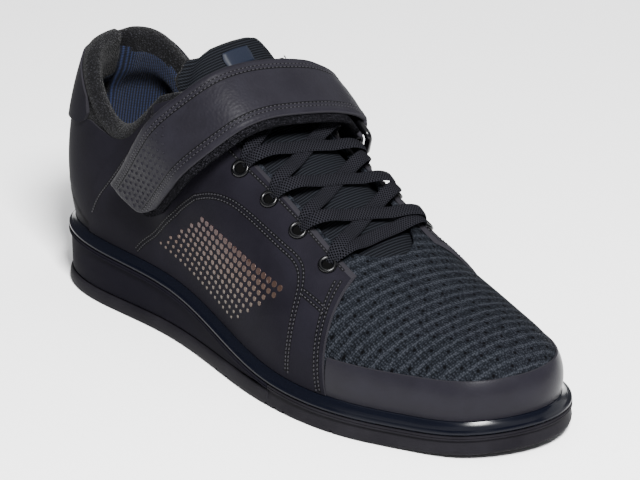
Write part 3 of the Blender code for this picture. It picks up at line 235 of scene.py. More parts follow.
@dataclass
class Last:
    """The form of the foot that the shoe is drawn on.

    A place is a side, a turn round the outline (0 heel, 1 toe) and a rise along the column
    from the feather line (0) to the crest (1).
    """

    length: float = 0.300
    ball: float = 0.1106 / 2
    heel: float = 0.0756 / 2
    heel_stack: float = 0.0285
    fore_stack: float = 0.0089
    toe_spring: float = 0.0041
    heel_lift: float = 0.0010
    outsole_height: float = 0.0062
    lip_height: float = 0.0020
    lip_proud: float = 0.0012
    welt_height: float = 0.0050
    welt_seat: float = 0.0036
    feather_depth: float = 0.0060
    heel_inset: float = 0.62
    gap: float = 0.0003
    height: float = 0.150
    ankle: float = 0.060
    heel_top: float = 0.1210
    throat_width: float = 0.048
    throat_shift: float = 0.0025
    throat_corner: float = 0.026
    ridge_shift: float = 0.0050
    heel_tip: float = 0.016
    toe_tip: float = 0.136
    wedge_end: float = 0.612
    throat_span: tuple[float, float] = (0.290, 0.700)
    toe_start: float = 0.70
    heel_edge: float = 0.05
    split_power: float = 2.2
    nudge: float = 0.004
    outline_samples: int = 361
    rise_samples: int = 241

    def __post_init__(self) -> None:
        """Draws the curves from the tables."""
        halves = [
            ((0.030, 0.614), (0.100, 0.907), (0.200, 0.976), (0.320, 1.005), (0.450, 0.817), (0.570, 0.960),
             (0.670, 1.000), (0.770, 0.935), (0.860, 0.767), (0.935, 0.571), (0.983, 0.235)),
            ((0.035, 0.646), (0.120, 0.966), (0.240, 0.981), (0.360, 0.955), (0.480, 0.725), (0.600, 0.897),
             (0.700, 0.995), (0.780, 0.978), (0.870, 0.857), (0.940, 0.694), (0.985, 0.439))]
        lateral, medial = ([(x, y, self.heel if i < 4 else self.ball) for i, (x, y) in enumerate(half)]
                           for half in halves)
        self.halves = self._outline(lateral, medial)
        self.wedge = spline((0.0, 0.20, 0.35, 0.50, 0.62, 0.75, 0.90, 1.0),
                            (1.0, 0.862, 0.719, 0.347, 0.082, 0.036, 0.0, 0.015))
        crest = (
            (0.00, 0.098, 0.00, 1.00), (0.07, 0.105, 0.33, 1.00), (0.14, 0.123, 0.60, 1.00),
            (0.22, 0.158, 0.83, 1.00), (0.29, 0.205, 0.96, 1.00), (0.34, 0.268, 0.98, 1.00),
            (0.365, 0.304, 0.88, 1.00), (0.385, 0.325, 0.55, 0.99), (0.40, 0.334, 0.00, 0.98),
            (0.43, 0.366, 0.00, 0.915), (0.47, 0.420, 0.00, 0.793), (0.52, 0.497, 0.00, 0.677),
            (0.57, 0.577, 0.00, 0.583), (0.62, 0.657, 0.00, 0.482), (0.68, 0.740, 0.00, 0.404),
            (0.75, 0.810, 0.00, 0.359), (0.82, 0.853, 0.00, 0.338), (0.90, 0.877, 0.00, 0.329),
            (1.00, 0.887, 0.00, 0.324))
        form = (
            (0.00, 13.0, 24.0, 0.34, 0.34), (0.15, 11.0, 20.0, 0.34, 0.34), (0.30, 5.0, 2.0, 0.40, 0.36),
            (0.42, 0.0, 0.0, 0.44, 0.36), (0.52, 2.0, 0.0, 0.46, 0.38), (0.65, 10.0, 0.0, 0.44, 0.42),
            (0.80, 12.0, 0.0, 0.44, 0.46), (1.00, 11.0, 0.0, 0.48, 0.48))
        collar = (
            (0.00, 1.000, 1.000), (0.065, 1.000, 0.990), (0.095, 0.955, 0.930), (0.125, 0.875, 0.840),
            (0.155, 0.795, 0.765), (0.190, 0.750, 0.725), (0.225, 0.785, 0.755), (0.265, 0.890, 0.860),
            (0.305, 0.965, 0.955), (0.345, 1.005, 1.005), (0.400, 1.020, 1.020))
        self.crest_x, self.crest_half, self.crest_z = (column(crest, i) for i in (1, 2, 3))
        self.flare, self.lean, self.low_pull, self.high_pull = (column(form, i) for i in (1, 2, 3, 4))
        self.collar_share = {Side.LATERAL: column(collar, 1), Side.MEDIAL: column(collar, 2)}
        self.tree = self._tree()

    @staticmethod
    def turn_of(share: Array) -> Array:
        """Turn round the outline at a share of the length."""
        return np.arccos(1 - 2 * np.clip(share, 0.0, 1.0)) / math.pi

    def _outline(self, lateral: list[tuple[float, float, float]],
                 medial: list[tuple[float, float, float]]) -> dict[Side, tuple[Array, ...]]:
        """Dense outline of the sole with outward normals, one half for each side."""
        points = [(0.0, self.heel_tip * self.heel)]
        points += [(x * self.length, -y * width) for x, y, width in lateral]
        points.append((self.length, self.toe_tip * self.ball))
        points += [(x * self.length, y * width) for x, y, width in reversed(medial)]
        ring = np.array(points)
        count = len(ring)
        wrapped = np.vstack([ring] * 3 + [ring[:1]])
        run = np.r_[0, np.cumsum(np.linalg.norm(np.diff(wrapped, axis=0), axis=1))]
        toe = count + len(lateral) + 1
        curve_x, curve_y = spline(run, wrapped[:, 0]), spline(run, wrapped[:, 1])
        halves = {}
        for side, first in ((Side.LATERAL, count), (Side.MEDIAL, 2 * count)):
            at = np.linspace(run[first], run[toe], self.outline_samples)
            x, y = curve_x(at), curve_y(at)
            slope_x, slope_y = np.gradient(x, at), np.gradient(y, at)
            size = np.hypot(slope_x, slope_y)
            normal_x, normal_y = slope_y / size, -slope_x / size
            normal_x[0], normal_y[0], normal_x[-1], normal_y[-1] = -1.0, 0.0, 1.0, 0.0
            rising = self.turn_of(x / self.length) + np.linspace(0, 1e-9, self.outline_samples)
            turn = np.maximum.accumulate(rising)
            turn[0], turn[-1] = 0.0, 1.0
            halves[side] = (turn, x, y, normal_x, normal_y)
        return halves

    def rail(self, side: Side, turn: Array, inset: Array = 0.0) -> tuple[Array, ...]:
        """Points of the outline moved inwards, with their outward normals."""
        turns, xs, ys, normal_xs, normal_ys = self.halves[side]
        x, y = np.interp(turn, turns, xs), np.interp(turn, turns, ys)
        normal_x, normal_y = np.interp(turn, turns, normal_xs), np.interp(turn, turns, normal_ys)
        size = np.hypot(normal_x, normal_y)
        normal_x, normal_y = normal_x / size, normal_y / size
        return x - normal_x * inset, y - normal_y * inset, normal_x, normal_y

    def ground(self, x: Array) -> Array:
        """Height of the sole's underside, with toe spring and a lifted heel edge."""
        share = np.asarray(x, float) / self.length
        toe = np.clip((share - self.toe_start) / (1 - self.toe_start), 0.0, 1.0)
        return self.toe_spring * toe ** 2 + self.edge_lift(share)

    def edge_lift(self, share: Array) -> Array:
        """How far the heel's rear edge is lifted off the floor."""
        return self.heel_lift * np.clip((self.heel_edge - share) / self.heel_edge, 0.0, 1.0) ** 2

    def lip(self, x: Array) -> Array:
        """Height of the lip along the top of the sole's side."""
        share = np.asarray(x, float) / self.length
        stack = self.fore_stack + (self.heel_stack - self.fore_stack) * self.wedge(share)
        return self.ground(x) + stack - self.edge_lift(share)

    def split(self, x: Array) -> Array:
        """Height of the line between outsole and heel wedge."""
        share = np.clip(np.asarray(x, float) / self.length / self.wedge_end, 0.0, 1.0)
        end = self.lip(self.wedge_end * self.length) - self.lip_height - self.gap
        return self.ground(x) + self.outsole_height + (end - self.outsole_height) * share ** self.split_power

    def feather_inset(self, turn: Array) -> Array:
        """How far the feather line lies inside the outline: less round the heel."""
        return self.feather_depth * (self.heel_inset + (1 - self.heel_inset) * blend(0.05, 0.30, turn))

    def ridge_y(self, x: Array) -> Array:
        """Centre line of the foot, which wanders to the medial side over the instep."""
        share = np.asarray(x, float) / self.length
        return (self.ridge_shift * blend(0.28, 0.52, share)
                + (self.toe_tip * self.ball - self.ridge_shift) * blend(0.6, 1, share))

    def crest(self, side: Side, turn: Array) -> Array:
        """Top of each column: a ring round the ankle, then the ridge of the foot."""
        turn = np.asarray(turn, float)
        x = self.crest_x(turn) * self.length
        half = np.where(turn < 0.4, np.maximum(self.crest_half(turn), 0.0), 0.0) * self.ankle / 2
        y = self.ridge_y(x) + side.value * half
        return np.stack([x, y, self.crest_z(turn) * self.height], axis=-1)

    def point(self, side: Side, turn: Array, rise: Array) -> Array:
        """Place on the outside of the upper."""
        turn, rise = np.broadcast_arrays(np.asarray(turn, float), np.asarray(rise, float))
        x, y, normal_x, normal_y = self.rail(side, turn)
        inset = self.feather_inset(turn)
        foot_x = x - normal_x * inset
        low = np.stack([foot_x, y - normal_y * inset,
                        self.lip(foot_x) + self.gap * 2 + self.welt_height], axis=-1)
        high = self.crest(side, turn)
        out = np.stack([normal_x, normal_y, np.zeros_like(turn)], axis=-1)
        up = np.array([0.0, 0.0, 1.0])
        angle, tilt = (np.radians(curve(turn))[..., None] for curve in (self.flare, self.lean))
        start = out * np.sin(angle) + up * np.cos(angle)
        wall_end = out * np.sin(tilt) - up * np.cos(tilt)
        ahead, behind = np.clip(turn + self.nudge, 0, 1), np.clip(turn - self.nudge, 0, 1)
        along = (self.crest(side, ahead) - self.crest(side, behind)) * np.array([1.0, 0.0, 1.0])
        over = unit(unit(along) * normal_x[..., None] + np.array([0.0, 1.0, 0.0]) * normal_y[..., None])
        share = blend(0.33, 0.42, turn)[..., None]
        end = unit(wall_end * (1 - share) + over * share)
        chord = np.linalg.norm(high - low, axis=-1, keepdims=True)
        second = low + start * chord * self.low_pull(turn)[..., None]
        third = high + end * chord * self.high_pull(turn)[..., None]
        t = rise[..., None]
        s = 1 - t
        return s ** 3 * low + 3 * s * s * t * second + 3 * s * t * t * third + t ** 3 * high

    def normal(self, side: Side, turn: Array, rise: Array) -> Array:
        """Outward direction of the surface."""
        turn, rise = np.broadcast_arrays(np.asarray(turn, float), np.asarray(rise, float))
        step = self.nudge
        ahead, behind = np.clip(turn + step, 0, 1), np.clip(turn - step, 0, 1)
        above, below = np.clip(rise + step, 0, 1), np.clip(rise - step, 0, 1)
        along = self.point(side, ahead, rise) - self.point(side, behind, rise)
        across = self.point(side, turn, above) - self.point(side, turn, below)
        ends = ((turn < step) | (turn > 1 - step))[..., None]
        along = np.where(ends, along * np.array([0.0, 1.0, 0.0]), along)
        return unit(np.cross(along, across) * -side.value)

    def surface(self, side: Side, turn: Array, rise: Array, out: Array) -> Array:
        """Place on the last moved outwards; at the feather line it moves level."""
        turn, rise = np.broadcast_arrays(np.asarray(turn, float), np.asarray(rise, float))
        normal = self.normal(side, turn, rise)
        level = np.where(rise[..., None] < 0.02, np.array([1.0, 1.0, 0.0]), 1.0)
        return self.point(side, turn, rise) + unit(normal * level) * np.asarray(out)[..., None]

    def collar(self, side: Side, x: Array) -> Array:
        """Height of the collar's edge."""
        return self.collar_share[side](x / self.length) * self.heel_top

    def throat_half(self, side: Side, x: Array) -> Array:
        """Distance of the throat's edge from the centre line, with round front corners."""
        left = (self.throat_span[1] * self.length - np.asarray(x, float)) / self.throat_corner
        return self.throat_edge(side) * np.sqrt(1 - (1 - np.clip(left, 0, 1)) ** 2)

    def throat_edge(self, side: Side) -> float:
        """Distance of a throat edge from the centre line; the throat lies off centre."""
        return self.throat_width / 2 - side.value * self.throat_shift

    def edges(self, side: Side, turns: Array) -> Array:
        """Rise of the upper's top edge on each column: collar, throat or crest."""
        rises = np.linspace(0.0, 1.0, 401)
        places = self.point(side, turns[:, None], rises[None, :])
        x, y, z = places[..., 0], places[..., 1], places[..., 2]
        over = z - self.collar(side, x)
        over = np.where(x < 0.4 * self.length, over, -1.0)
        inside = (x > self.throat_span[0] * self.length) & (x < self.throat_span[1] * self.length)
        gap = self.throat_half(side, x) - np.abs(y - self.ridge_y(x))
        value = np.maximum(over, np.where(inside, gap, -1.0))
        found = []
        for row in value:
            first = int(np.argmax(row > 0))
            if row[first] <= 0:
                found.append(1.0)
                continue
            near = row[first - 1] if first else -1.0
            part = -near / (row[first] - near) if near > -0.9 else 1.0
            found.append(float(rises[first] - (1 - part) * (rises[1] - rises[0])))
        return np.array(found)

    def lane(self, side: Side, half: float) -> Array:
        """Line on the last at a distance from the foot's centre: rows of turn, rise, x, y, z."""
        rises = np.linspace(0.0, 1.0, self.rise_samples)
        rows = []
        for turn in np.linspace(0.26, 0.92, 133):
            places = self.point(side, np.full_like(rises, turn), rises)
            away = np.abs(places[:, 1] - self.ridge_y(places[:, 0]))
            top = int(np.argmax(away))
            if away[top] < half or away[-1] > half + 1e-9:
                continue
            rise = float(np.interp(-half, -away[top:], rises[top:]))
            rows.append((turn, rise, *self.point(side, turn, rise)))
        return np.array(rows)

    def _tree(self) -> BVHTree:
        """Search tree of the whole last."""
        turns, rises = np.linspace(0.004, 0.996, 150), np.linspace(0.01, 1.0, 70)
        heap = Heap()
        for side in Side:
            quads = grid_faces(len(turns), len(rises))
            heap.put(self.point(side, turns[:, None], rises[None, :]).reshape(-1, 3),
                     quads if side is Side.MEDIAL else [quad[::-1] for quad in quads])
        return BVHTree.FromPolygons([tuple(place) for place in np.vstack(heap.points)], heap.faces)

    def from_side(self, side: Side, line: Array) -> tuple[Array, Array]:
        """Places of a side-view line (x, z) on the last, with outward normals."""
        spots, normals = [], []
        for x, z in line:
            place, normal, _, _ = self.tree.ray_cast(Vector((x, side.value * 0.2, z)),
                                                     Vector((0, -side.value, 0)))
            if place is not None:
                normals.append(tuple(normal if normal.y * side.value > 0 else -normal))
                spots.append(tuple(place))
        return np.array(spots), np.array(normals)


def linear(colour: str) -> tuple[float, float, float, float]:
    """sRGB hex such as "#2b2a2f" as linear red, green, blue and alpha."""
    parts = [int(colour[i:i + 2], 16) / 255 for i in (1, 3, 5)]
    return (*[c / 12.92 if c <= 0.04045 else ((c + 0.055) / 1.055) ** 2.4 for c in parts], 1.0)


class Graph:
    """The nodes of one material; each call adds a node and hands back the socket to use."""

    SOCKETS = {"TexNoise": "Fac", "TexVoronoi": "Distance", "TexWave": "Fac", "Mapping": "Vector",
               "MapRange": "Result", "Math": "Value", "ValToRGB": "Color", "SeparateXYZ": "Z",
               "Bump": "Normal"}

    def __init__(self, material: bpy.types.Material) -> None:
        """Starts from the material's own shader node."""
        self.tree = material.node_tree
        self.shader = self.tree.nodes["Principled BSDF"]

    def add(self, kind: str, inputs: dict | None = None, socket: str | int | None = None,
            **settings: object) -> Socket:
        """Adds a node with its settings and links.

        Args:
            kind: the node's type, without its prefix.
            inputs: socket name or number to a value, or to the socket it takes.
            socket: the output to hand back, if it isn't the kind's usual one.
            settings: the node's own settings.
        Returns:
            The output.
        """
        node = self.tree.nodes.new("ShaderNode" + kind)
        for key, value in settings.items():
            setattr(node, key, value)
        for key, value in (inputs or {}).items():
            if isinstance(value, Socket):
                self.tree.links.new(value, node.inputs[key])
            else:
                node.inputs[key].default_value = value
        return node.outputs[self.SOCKETS[kind] if socket is None else socket]

    def place(self, kind: str = "Object") -> Socket:
        """Where a point lies: in the object, or in the UV in metres."""
        return self.add("TexCoord", socket=kind)

    def math(self, kind: str, *values: Socket | float) -> Socket:
        """A sum on up to three values."""
        return self.add("Math", dict(enumerate(values)), operation=kind)

    def noise(self, place: Socket, scale: float, detail: float, roughness: float = 0.5) -> Socket:
        """Cloudy noise of 0 to 1."""
        return self.add("TexNoise", {"Vector": place, "Scale": scale, "Detail": detail,
                                     "Roughness": roughness})

    def cells(self, place: Socket, size: float, randomness: float, **settings: object) -> Socket:
        """Distance from the middle of the nearest cell."""
        return self.add("TexVoronoi", {"Vector": place, "Scale": 1 / size, "Randomness": randomness},
                        **settings)

    def wave(self, place: Socket, period: float, way: str = "X", more: dict | None = None) -> Socket:
        """Bands of 0 to 1 that repeat after a period in metres."""
        return self.add("TexWave", {"Vector": place, "Scale": WAVE_UNIT / period, **(more or {})},
                        wave_type="BANDS", bands_direction=way)

    def spread(self, value: Socket, low: float, high: float, first: float = 0.0,
               final: float = 1.0) -> Socket:
        """Maps a value from one range to another."""
        return self.add("MapRange", {"Value": value, "From Min": low, "From Max": high,
                                     "To Min": first, "To Max": final})

    def ramp(self, factor: Socket, *stops: tuple[float, str]) -> Socket:
        """Colour from a factor through stops of (place, hex)."""
        socket = self.add("ValToRGB", {"Fac": factor})
        elements = socket.node.color_ramp.elements
        while len(elements) < len(stops):
            elements.new(0.5)
        for element, (place, colour) in zip(elements, sorted(stops)):
            element.position = place
            element.color = linear(colour)
        return socket

    def feed(self, name: str, source: Socket) -> None:
        """Links a socket to an input of the shader."""
        self.tree.links.new(source, self.shader.inputs[name])

    def bump(self, height: Socket, depth: float) -> None:
        """Raises the surface by a height of 0 to 1 times a depth in metres."""
        self.feed("Normal", self.add("Bump", {"Height": height, "Distance": depth, "Strength": 1.0}))


@dataclass(frozen=True)
class Finish:
    """What a surface is made of; each kind adds its own pattern in dress."""

    name: str = "plain"
    colour: str = "#26252a"
    roughness: float = 0.5
    ior: float = 1.5
    sheen: float = 0.0
    specular: float = 0.5

    def material(self) -> bpy.types.Material:
        """The finish as a material, made once and then shared."""
        made = bpy.data.materials.get(self.name)
        if made is None:
            made = bpy.data.materials.new(self.name)
            made.use_nodes = True
            graph = Graph(made)
            for name, value in (("Base Color", linear(self.colour)), ("Roughness", self.roughness),
                                ("IOR", self.ior), ("Specular IOR Level", self.specular),
                                ("Sheen Weight", self.sheen)):
                graph.shader.inputs[name].default_value = value
            self.dress(graph)
        return made

    def dress(self, graph: Graph) -> None:
        """Adds the pattern; the plain finish has a faint mottle."""
        graph.bump(graph.noise(graph.place(), 160.0, 3.0), 0.00005)


@dataclass(frozen=True)
class CoatedLeather(Finish):
    """Polyurethane-coated microfibre, calendered: a soft even sheen over a pebble under 1 mm."""

    grain: float = 0.0009
    depth: float = 0.00004
    cast: str = "#302e36"

    def dress(self, graph: Graph) -> None:
        """Fine pebble grain, cloudy gloss and a faint change of tone."""
        place = graph.place()
        cloud = graph.noise(place, 34.0, 4.0, 0.6)
        graph.feed("Base Color", graph.ramp(cloud, (0.30, self.colour), (0.72, self.cast)))
        graph.feed("Roughness", graph.spread(cloud, 0.3, 0.7, self.roughness - 0.05, self.roughness + 0.06))
        graph.bump(graph.cells(place, self.grain, 1.0, feature="SMOOTH_F1"), self.depth)


@dataclass(frozen=True)
class VampMesh(Finish):
    """Knitted polyester spacer mesh: ribs across the foot, rows of pinholes and a 1 mm knit."""

    rib: float = 0.0052
    hole: float = 0.0048
    knit: float = 0.0011
    tilt: float = 0.12
    lean: float = -0.35
    diagonal: float = 1.41421

    def dress(self, graph: Graph) -> None:
        """Ribs, staggered pinholes between them and a fine knit over both."""
        turned = graph.add("Mapping", {"Vector": graph.place(), "Rotation": (0.0, self.lean, self.tilt)})
        ribs = graph.wave(turned, self.rib, "X", {"Distortion": 0.25, "Detail": 1.0, "Detail Scale": 1.0})
        cells = (1 / self.rib / self.diagonal, 1 / self.hole / self.diagonal, 0.0)
        lattice = graph.add("Mapping", {"Vector": turned, "Scale": cells})
        skew = graph.add("Mapping", {"Vector": lattice, "Rotation": (0.0, 0.0, math.pi / 4)})
        holes = graph.spread(graph.math("ADD", *(graph.wave(skew, 1.0, way) for way in "XY")), 0.03, 0.17)
        knit = graph.cells(turned, self.knit, 0.55)
        low = graph.math("MULTIPLY_ADD", graph.math("POWER", ribs, 3.0), 0.30, 0.62)
        height = graph.math("MULTIPLY", graph.math("MULTIPLY_ADD", knit, -0.95, low), holes)
        shade = graph.math("MULTIPLY_ADD", height, 0.6, 0.35)
        # Painted shade and highlight: the colour follows the height, near black in the grooves and the knit's
        # hollows and lighter on the rib crowns.
        tone = graph.ramp(shade, (0.20, "#040405"), (0.48, self.colour), (0.88, "#2a2c31"))
        # Painted shade: the pinholes are filled with near black for the shade inside them.
        deep = {"Factor": holes, 6: linear("#030304"), 7: tone}
        graph.feed("Base Color", graph.add("Mix", deep, 2, data_type="RGBA"))
        graph.bump(height, 0.0009)


@dataclass(frozen=True)
class RibbedCloth(Finish):
    """Rib-knit polyester: parallel ribs a millimetre or two apart, drawn from the UV in metres."""

    rib: float = 0.0016
    row: float = 0.0009
    depth: float = 0.0004
    light: str = "#343a45"
    dark: str = "#0a0b0f"
    across: bool = False

    def dress(self, graph: Graph) -> None:
        """Ribs along one way of the UV, with the stitch rows across them."""
        place = graph.place("UV")
        ways = "YX" if self.across else "XY"
        ribs = graph.wave(place, self.rib, ways[0], {"Distortion": 0.6, "Detail": 1.5, "Detail Scale": 0.4})
        rows = graph.wave(place, self.row, ways[1], {"Distortion": 0.3})
        mixed = graph.math("MULTIPLY_ADD", rows, 0.35, ribs)
        total = graph.math("MULTIPLY_ADD", graph.noise(place, 900.0, 2.0), 0.5, mixed)
        part = graph.math("MULTIPLY", total, 0.55)
        # Painted shade and highlight: the colour follows the bump's height, dark in the hollows between ribs
        # and rows and light on their crowns.
        graph.feed("Base Color", graph.ramp(part, (0.15, self.dark), (0.5, self.colour), (0.95, self.light)))
        graph.bump(total, self.depth)


@dataclass(frozen=True)
class SpeckledKnit(Finish):
    """Brushed knit over foam: raised loops on black, soft at the edge, their tops painted grey as highlight.
    """

    loop: float = 0.0009
    light: str = "#4b4a50"

    def dress(self, graph: Graph) -> None:
        """Loops as small cells: painted highlight on their raised tops and painted shade in the near-black
        ground between.
        """
        place = graph.place()
        loops, fuzz = graph.cells(place, self.loop, 0.8), graph.noise(place, 1400.0, 2.0)
        mixed = graph.math("MULTIPLY_ADD", fuzz, 0.9, loops)
        tone = graph.ramp(mixed, (0.42, self.light), (0.75, self.colour), (1.0, "#020203"))
        graph.feed("Base Color", tone)
        graph.bump(graph.math("SUBTRACT", 1.0, mixed), 0.0006)


@dataclass(frozen=True)
class FlatBraid(Finish):
    """Braided polyester lace: rows of small chevrons across a flat band, drawn from the UV."""

    pick: float = 0.0011
    slant: float = 0.95
    light: str = "#4d4c52"

    def dress(self, graph: Graph) -> None:
        """Two sets of slanted threads that cross into small diamonds."""
        place = graph.place("UV")
        turned = (graph.add("Mapping", {"Vector": place, "Rotation": (0.0, 0.0, angle)})
                  for angle in (self.slant, -self.slant))
        height = graph.math("MAXIMUM", *(graph.wave(threads, self.pick) for threads in turned))
        # Painted shade and highlight: near black where the threads dip and lighter on their crowns, following
        # the bump's height.
        tone = graph.ramp(height, (0.25, "#020203"), (0.6, self.colour), (1.0, self.light))
        graph.feed("Base Color", tone)
        graph.bump(height, 0.0004)


@dataclass(frozen=True)
class LoopPile(Finish):
    """Hook-and-loop pile: a mat of fine nylon loops that scatters light like felt."""

    def dress(self, graph: Graph) -> None:
        """Tangled specks, half of them catching the light."""
        tangle = graph.noise(graph.place(), 1500.0, 4.0, 0.75)
        tone = graph.ramp(tangle, (0.38, "#030304"), (0.52, self.colour), (0.68, "#2a292e"))
        graph.feed("Base Color", tone)
        graph.bump(tangle, 0.0012)


@dataclass(frozen=True)
class GlossBand(Finish):
    """Extruded thermoplastic rubber, polished: near mirror, with long faint draw streaks."""

    def dress(self, graph: Graph) -> None:
        """Streaks along the band, in gloss and in height."""
        drawn = graph.add("Mapping", {"Vector": graph.place(), "Scale": (14.0, 14.0, 900.0)})
        streak = graph.noise(drawn, 1.0, 3.0)
        graph.feed("Roughness", graph.spread(streak, 0.35, 0.7, self.roughness, self.roughness + 0.16))
        graph.bump(streak, 0.00006)


@dataclass(frozen=True)
class BronzeFoil(Finish):
    """Metallised transfer film: bronze that turns from olive to red-brown up the side."""

    def dress(self, graph: Graph) -> None:
        """Colour drifts with the height on the side, as the film's interference layer does."""
        drift = graph.spread(graph.add("SeparateXYZ", {"Vector": graph.place()}), 0.030, 0.066)
        tone = graph.ramp(drift, (0.0, "#38322a"), (0.55, "#3a2c24"), (1.0, "#322220"))
        graph.feed("Base Color", tone)
        graph.shader.inputs["Metallic"].default_value = 0.65


LEATHER = CoatedLeather("coated_microfibre_calendered", "#0e0d11", 0.48, ior=1.3, specular=0.02,
                        cast="#141318")
STRAP_LEATHER = CoatedLeather("strap_microfibre_embossed", "#111014", 0.46, ior=1.3, specular=0.10,
                              cast="#18171c", grain=0.0013, depth=0.00014)
TOE_LEATHER = CoatedLeather("toe_guard_moulded_film", "#111014", 0.34, ior=1.3, specular=0.14,
                            cast="#17161b", grain=0.0007, depth=0.00003)
# A cut edge shows the microfibre's core, rougher than the coat above it; its paler colour is painted
# highlight, the thin light line along the panel's edge.
CUT_EDGE_HIGHLIGHT = Finish("microfibre_cut_edge", "#19181c", 0.8, specular=0.1)
THREAD = Finish("bonded_polyester_thread", "#19181c", 0.5, specular=0.15)
# Painted shade: a dark strip beside the thread for the needle channel, where the coat is pressed down and
# lies in shade.
CHANNEL_SHADE = Finish("needle_channel_painted_shade", "#030304", 0.7, specular=0.05)
MESH = VampMesh("vamp_spacer_mesh_knitted", "#111317", 0.85, ior=1.3, specular=0.05)
TONGUE_CLOTH = RibbedCloth("tongue_rib_knit", "#0e0f12", 0.85, ior=1.3, specular=0.05, rib=0.0013,
                           depth=0.0003, light="#1b1d21", dark="#050506", across=True)
LINING = RibbedCloth("collar_lining_rib_knit", "#0e1220", 0.85, specular=0.1, sheen=0.04, rib=0.0015,
                     depth=0.0005, light="#1b2542", dark="#030408")
KNIT = SpeckledKnit("collar_brushed_knit", "#0b0b0d", 0.9, specular=0.1, sheen=0.03, light="#222227")
BRAID = FlatBraid("lace_flat_braid_polyester", "#08080a", 0.8, ior=1.3, specular=0.03, light="#1a1a1e")
PILE = LoopPile("strap_loop_pile_nylon", "#0a0a0c", 0.95, ior=1.3, specular=0.03)
WELT = GlossBand("welt_rubber_polished", "#05060c", 0.12, ior=1.3, specular=0.28)
# Injection-moulded plastic with a fine spark-eroded texture: an even, slightly violet dull black.
BLOCK = CoatedLeather("heel_block_plastic_moulded", "#0c0b10", 0.55, ior=1.25, specular=0.02, cast="#111015",
                      grain=0.0006, depth=0.00002)
SOLE = CoatedLeather("outsole_rubber_moulded", "#0f0e11", 0.55, ior=1.3, specular=0.05, cast="#18171a",
                     grain=0.0008, depth=0.00003)
# Baked black enamel over a rolled brass ring: tight bright highlights on black.
ENAMEL = Finish("eyelet_enamel_baked", "#030304", 0.26, ior=1.4, specular=0.25)
FOOTBED = SpeckledKnit("footbed_cloth_woven", "#08080a", 0.95, specular=0.1, light="#17171a")
FOIL = BronzeFoil("bronze_transfer_foil", "#4a3a30", 0.42, specular=0.3)
# Moulded silicone on the tongue: bluish, smooth and rather matt.
PATCH = Finish("tongue_patch_silicone", "#0e121c", 0.5, specular=0.1)
# The lace hole and the eyelet's bore, where no light comes back.
SHADOW = Finish("eyelet_bore_shadow", "#010101", 0.9, specular=0.05)


class Bench:
    """Makes the pieces and reports them."""

    @staticmethod
    def piece(name: str, points: Array, faces: Sequence[Face], finishes: Sequence[Finish],
              slot: Slot, replaces: Sequence[str] = (), kinds: Sequence[int] | None = None,
              uv: Array | None = None, smooth: float = 40.0) -> bpy.types.Object:
        """Makes one piece that rides on the shoe.

        Args:
            name: the piece's name.
            points: rows of x, y, z, with x from the heel.
            faces: the corners of each face.
            finishes: the materials, in the order that kinds counts them.
            slot: the record's slot that the piece belongs to; not used.
            replaces: CAD nodes that it stands for.
            kinds: which finish each face has.
            uv: a row of u, v in metres for each point.
            smooth: edges sharper than this many degrees stay sharp.
        Returns:
            The object.
        """
        mesh = Bench.mesh(name, points, faces)
        if kinds is not None:
            mesh.polygons.foreach_set("material_index", np.asarray(kinds, dtype=np.int32))
        if uv is not None:
            layer = mesh.uv_layers.new(name="cloth")
            corner = np.empty(len(mesh.loops), dtype=np.int32)
            mesh.loops.foreach_get("vertex_index", corner)
            layer.data.foreach_set("uv", np.asarray(uv, dtype=np.float32)[corner].ravel())
        piece = Bench.stand(name, mesh, finishes, WELD)
        Bench.settle(piece, slot, replaces, smooth)
        return piece

    @staticmethod
    def mesh(name: str, points: Array, faces: Sequence[Face]) -> bpy.types.Mesh:
        """Mesh in the row's frame from points whose x is measured from the heel."""
        mesh = bpy.data.meshes.new(name)
        shifted = np.asarray(points, float) - np.array([HEEL_TO_ORIGIN, 0.0, 0.0])
        mesh.from_pydata([tuple(p) for p in shifted], [], [tuple(f) for f in faces])
        return mesh

    @staticmethod
    def stand(name: str, mesh: bpy.types.Mesh, finishes: Sequence[Finish],
              near: float = 0.0) -> bpy.types.Object:
        """Turns the faces outwards, welds points that are near and puts the mesh in the scene."""
        form = bmesh.new()
        form.from_mesh(mesh)
        if near:
            bmesh.ops.remove_doubles(form, verts=form.verts, dist=near)
        bmesh.ops.recalc_face_normals(form, faces=form.faces)
        form.to_mesh(mesh)
        form.free()
        for finish in finishes:
            mesh.materials.append(finish.material())
        made = bpy.data.objects.new(name, mesh)
        bpy.context.scene.collection.objects.link(made)
        return made

    @staticmethod
    def settle(piece: bpy.types.Object, slot: Slot, replaces: Sequence[str] = (),
               smooth: float = 40.0) -> None:
        """Shades a piece, sets it on the body and hides the CAD parts that it stands for."""
        piece.data.shade_smooth()
        piece.data.set_sharp_from_angle(angle=math.radians(smooth))
        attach(piece, "root")
        if replaces:
            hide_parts(*replaces)
        log.info("%s: %d faces", piece.name, len(piece.data.polygons))

    @staticmethod
    def cut(piece: bpy.types.Object, cutters: Sequence[bpy.types.Object], kept: str = "INTERSECT") -> None:
        """Cuts a piece; the cut faces take the cutter's finish.

        Args:
            piece: what is cut.
            cutters: closed solids, used one after the other and then removed.
            kept: INTERSECT keeps what lies inside them, DIFFERENCE what lies outside.
        """
        for cutter in cutters:
            tool = piece.modifiers.new("cut", "BOOLEAN")
            tool.operation, tool.solver, tool.object = kept, "EXACT", cutter
            tool.material_mode = "TRANSFER"
        graph = bpy.context.evaluated_depsgraph_get()
        mesh = bpy.data.meshes.new_from_object(piece.evaluated_get(graph))
        piece.modifiers.clear()
        piece.data = mesh
        for cutter in cutters:
            bpy.data.objects.remove(cutter, do_unlink=True)

    @staticmethod
    def prism(outline: Array, near: float, far: float, finish: Finish) -> bpy.types.Object:
        """Cutter drawn out across the shoe from an outline in the side view (x, z)."""
        points = [(x, y, z) for y in (near, far) for x, z in outline]
        return Bench.stand("cutter", Bench.mesh("cutter", points, drum_faces(len(outline))), [finish])


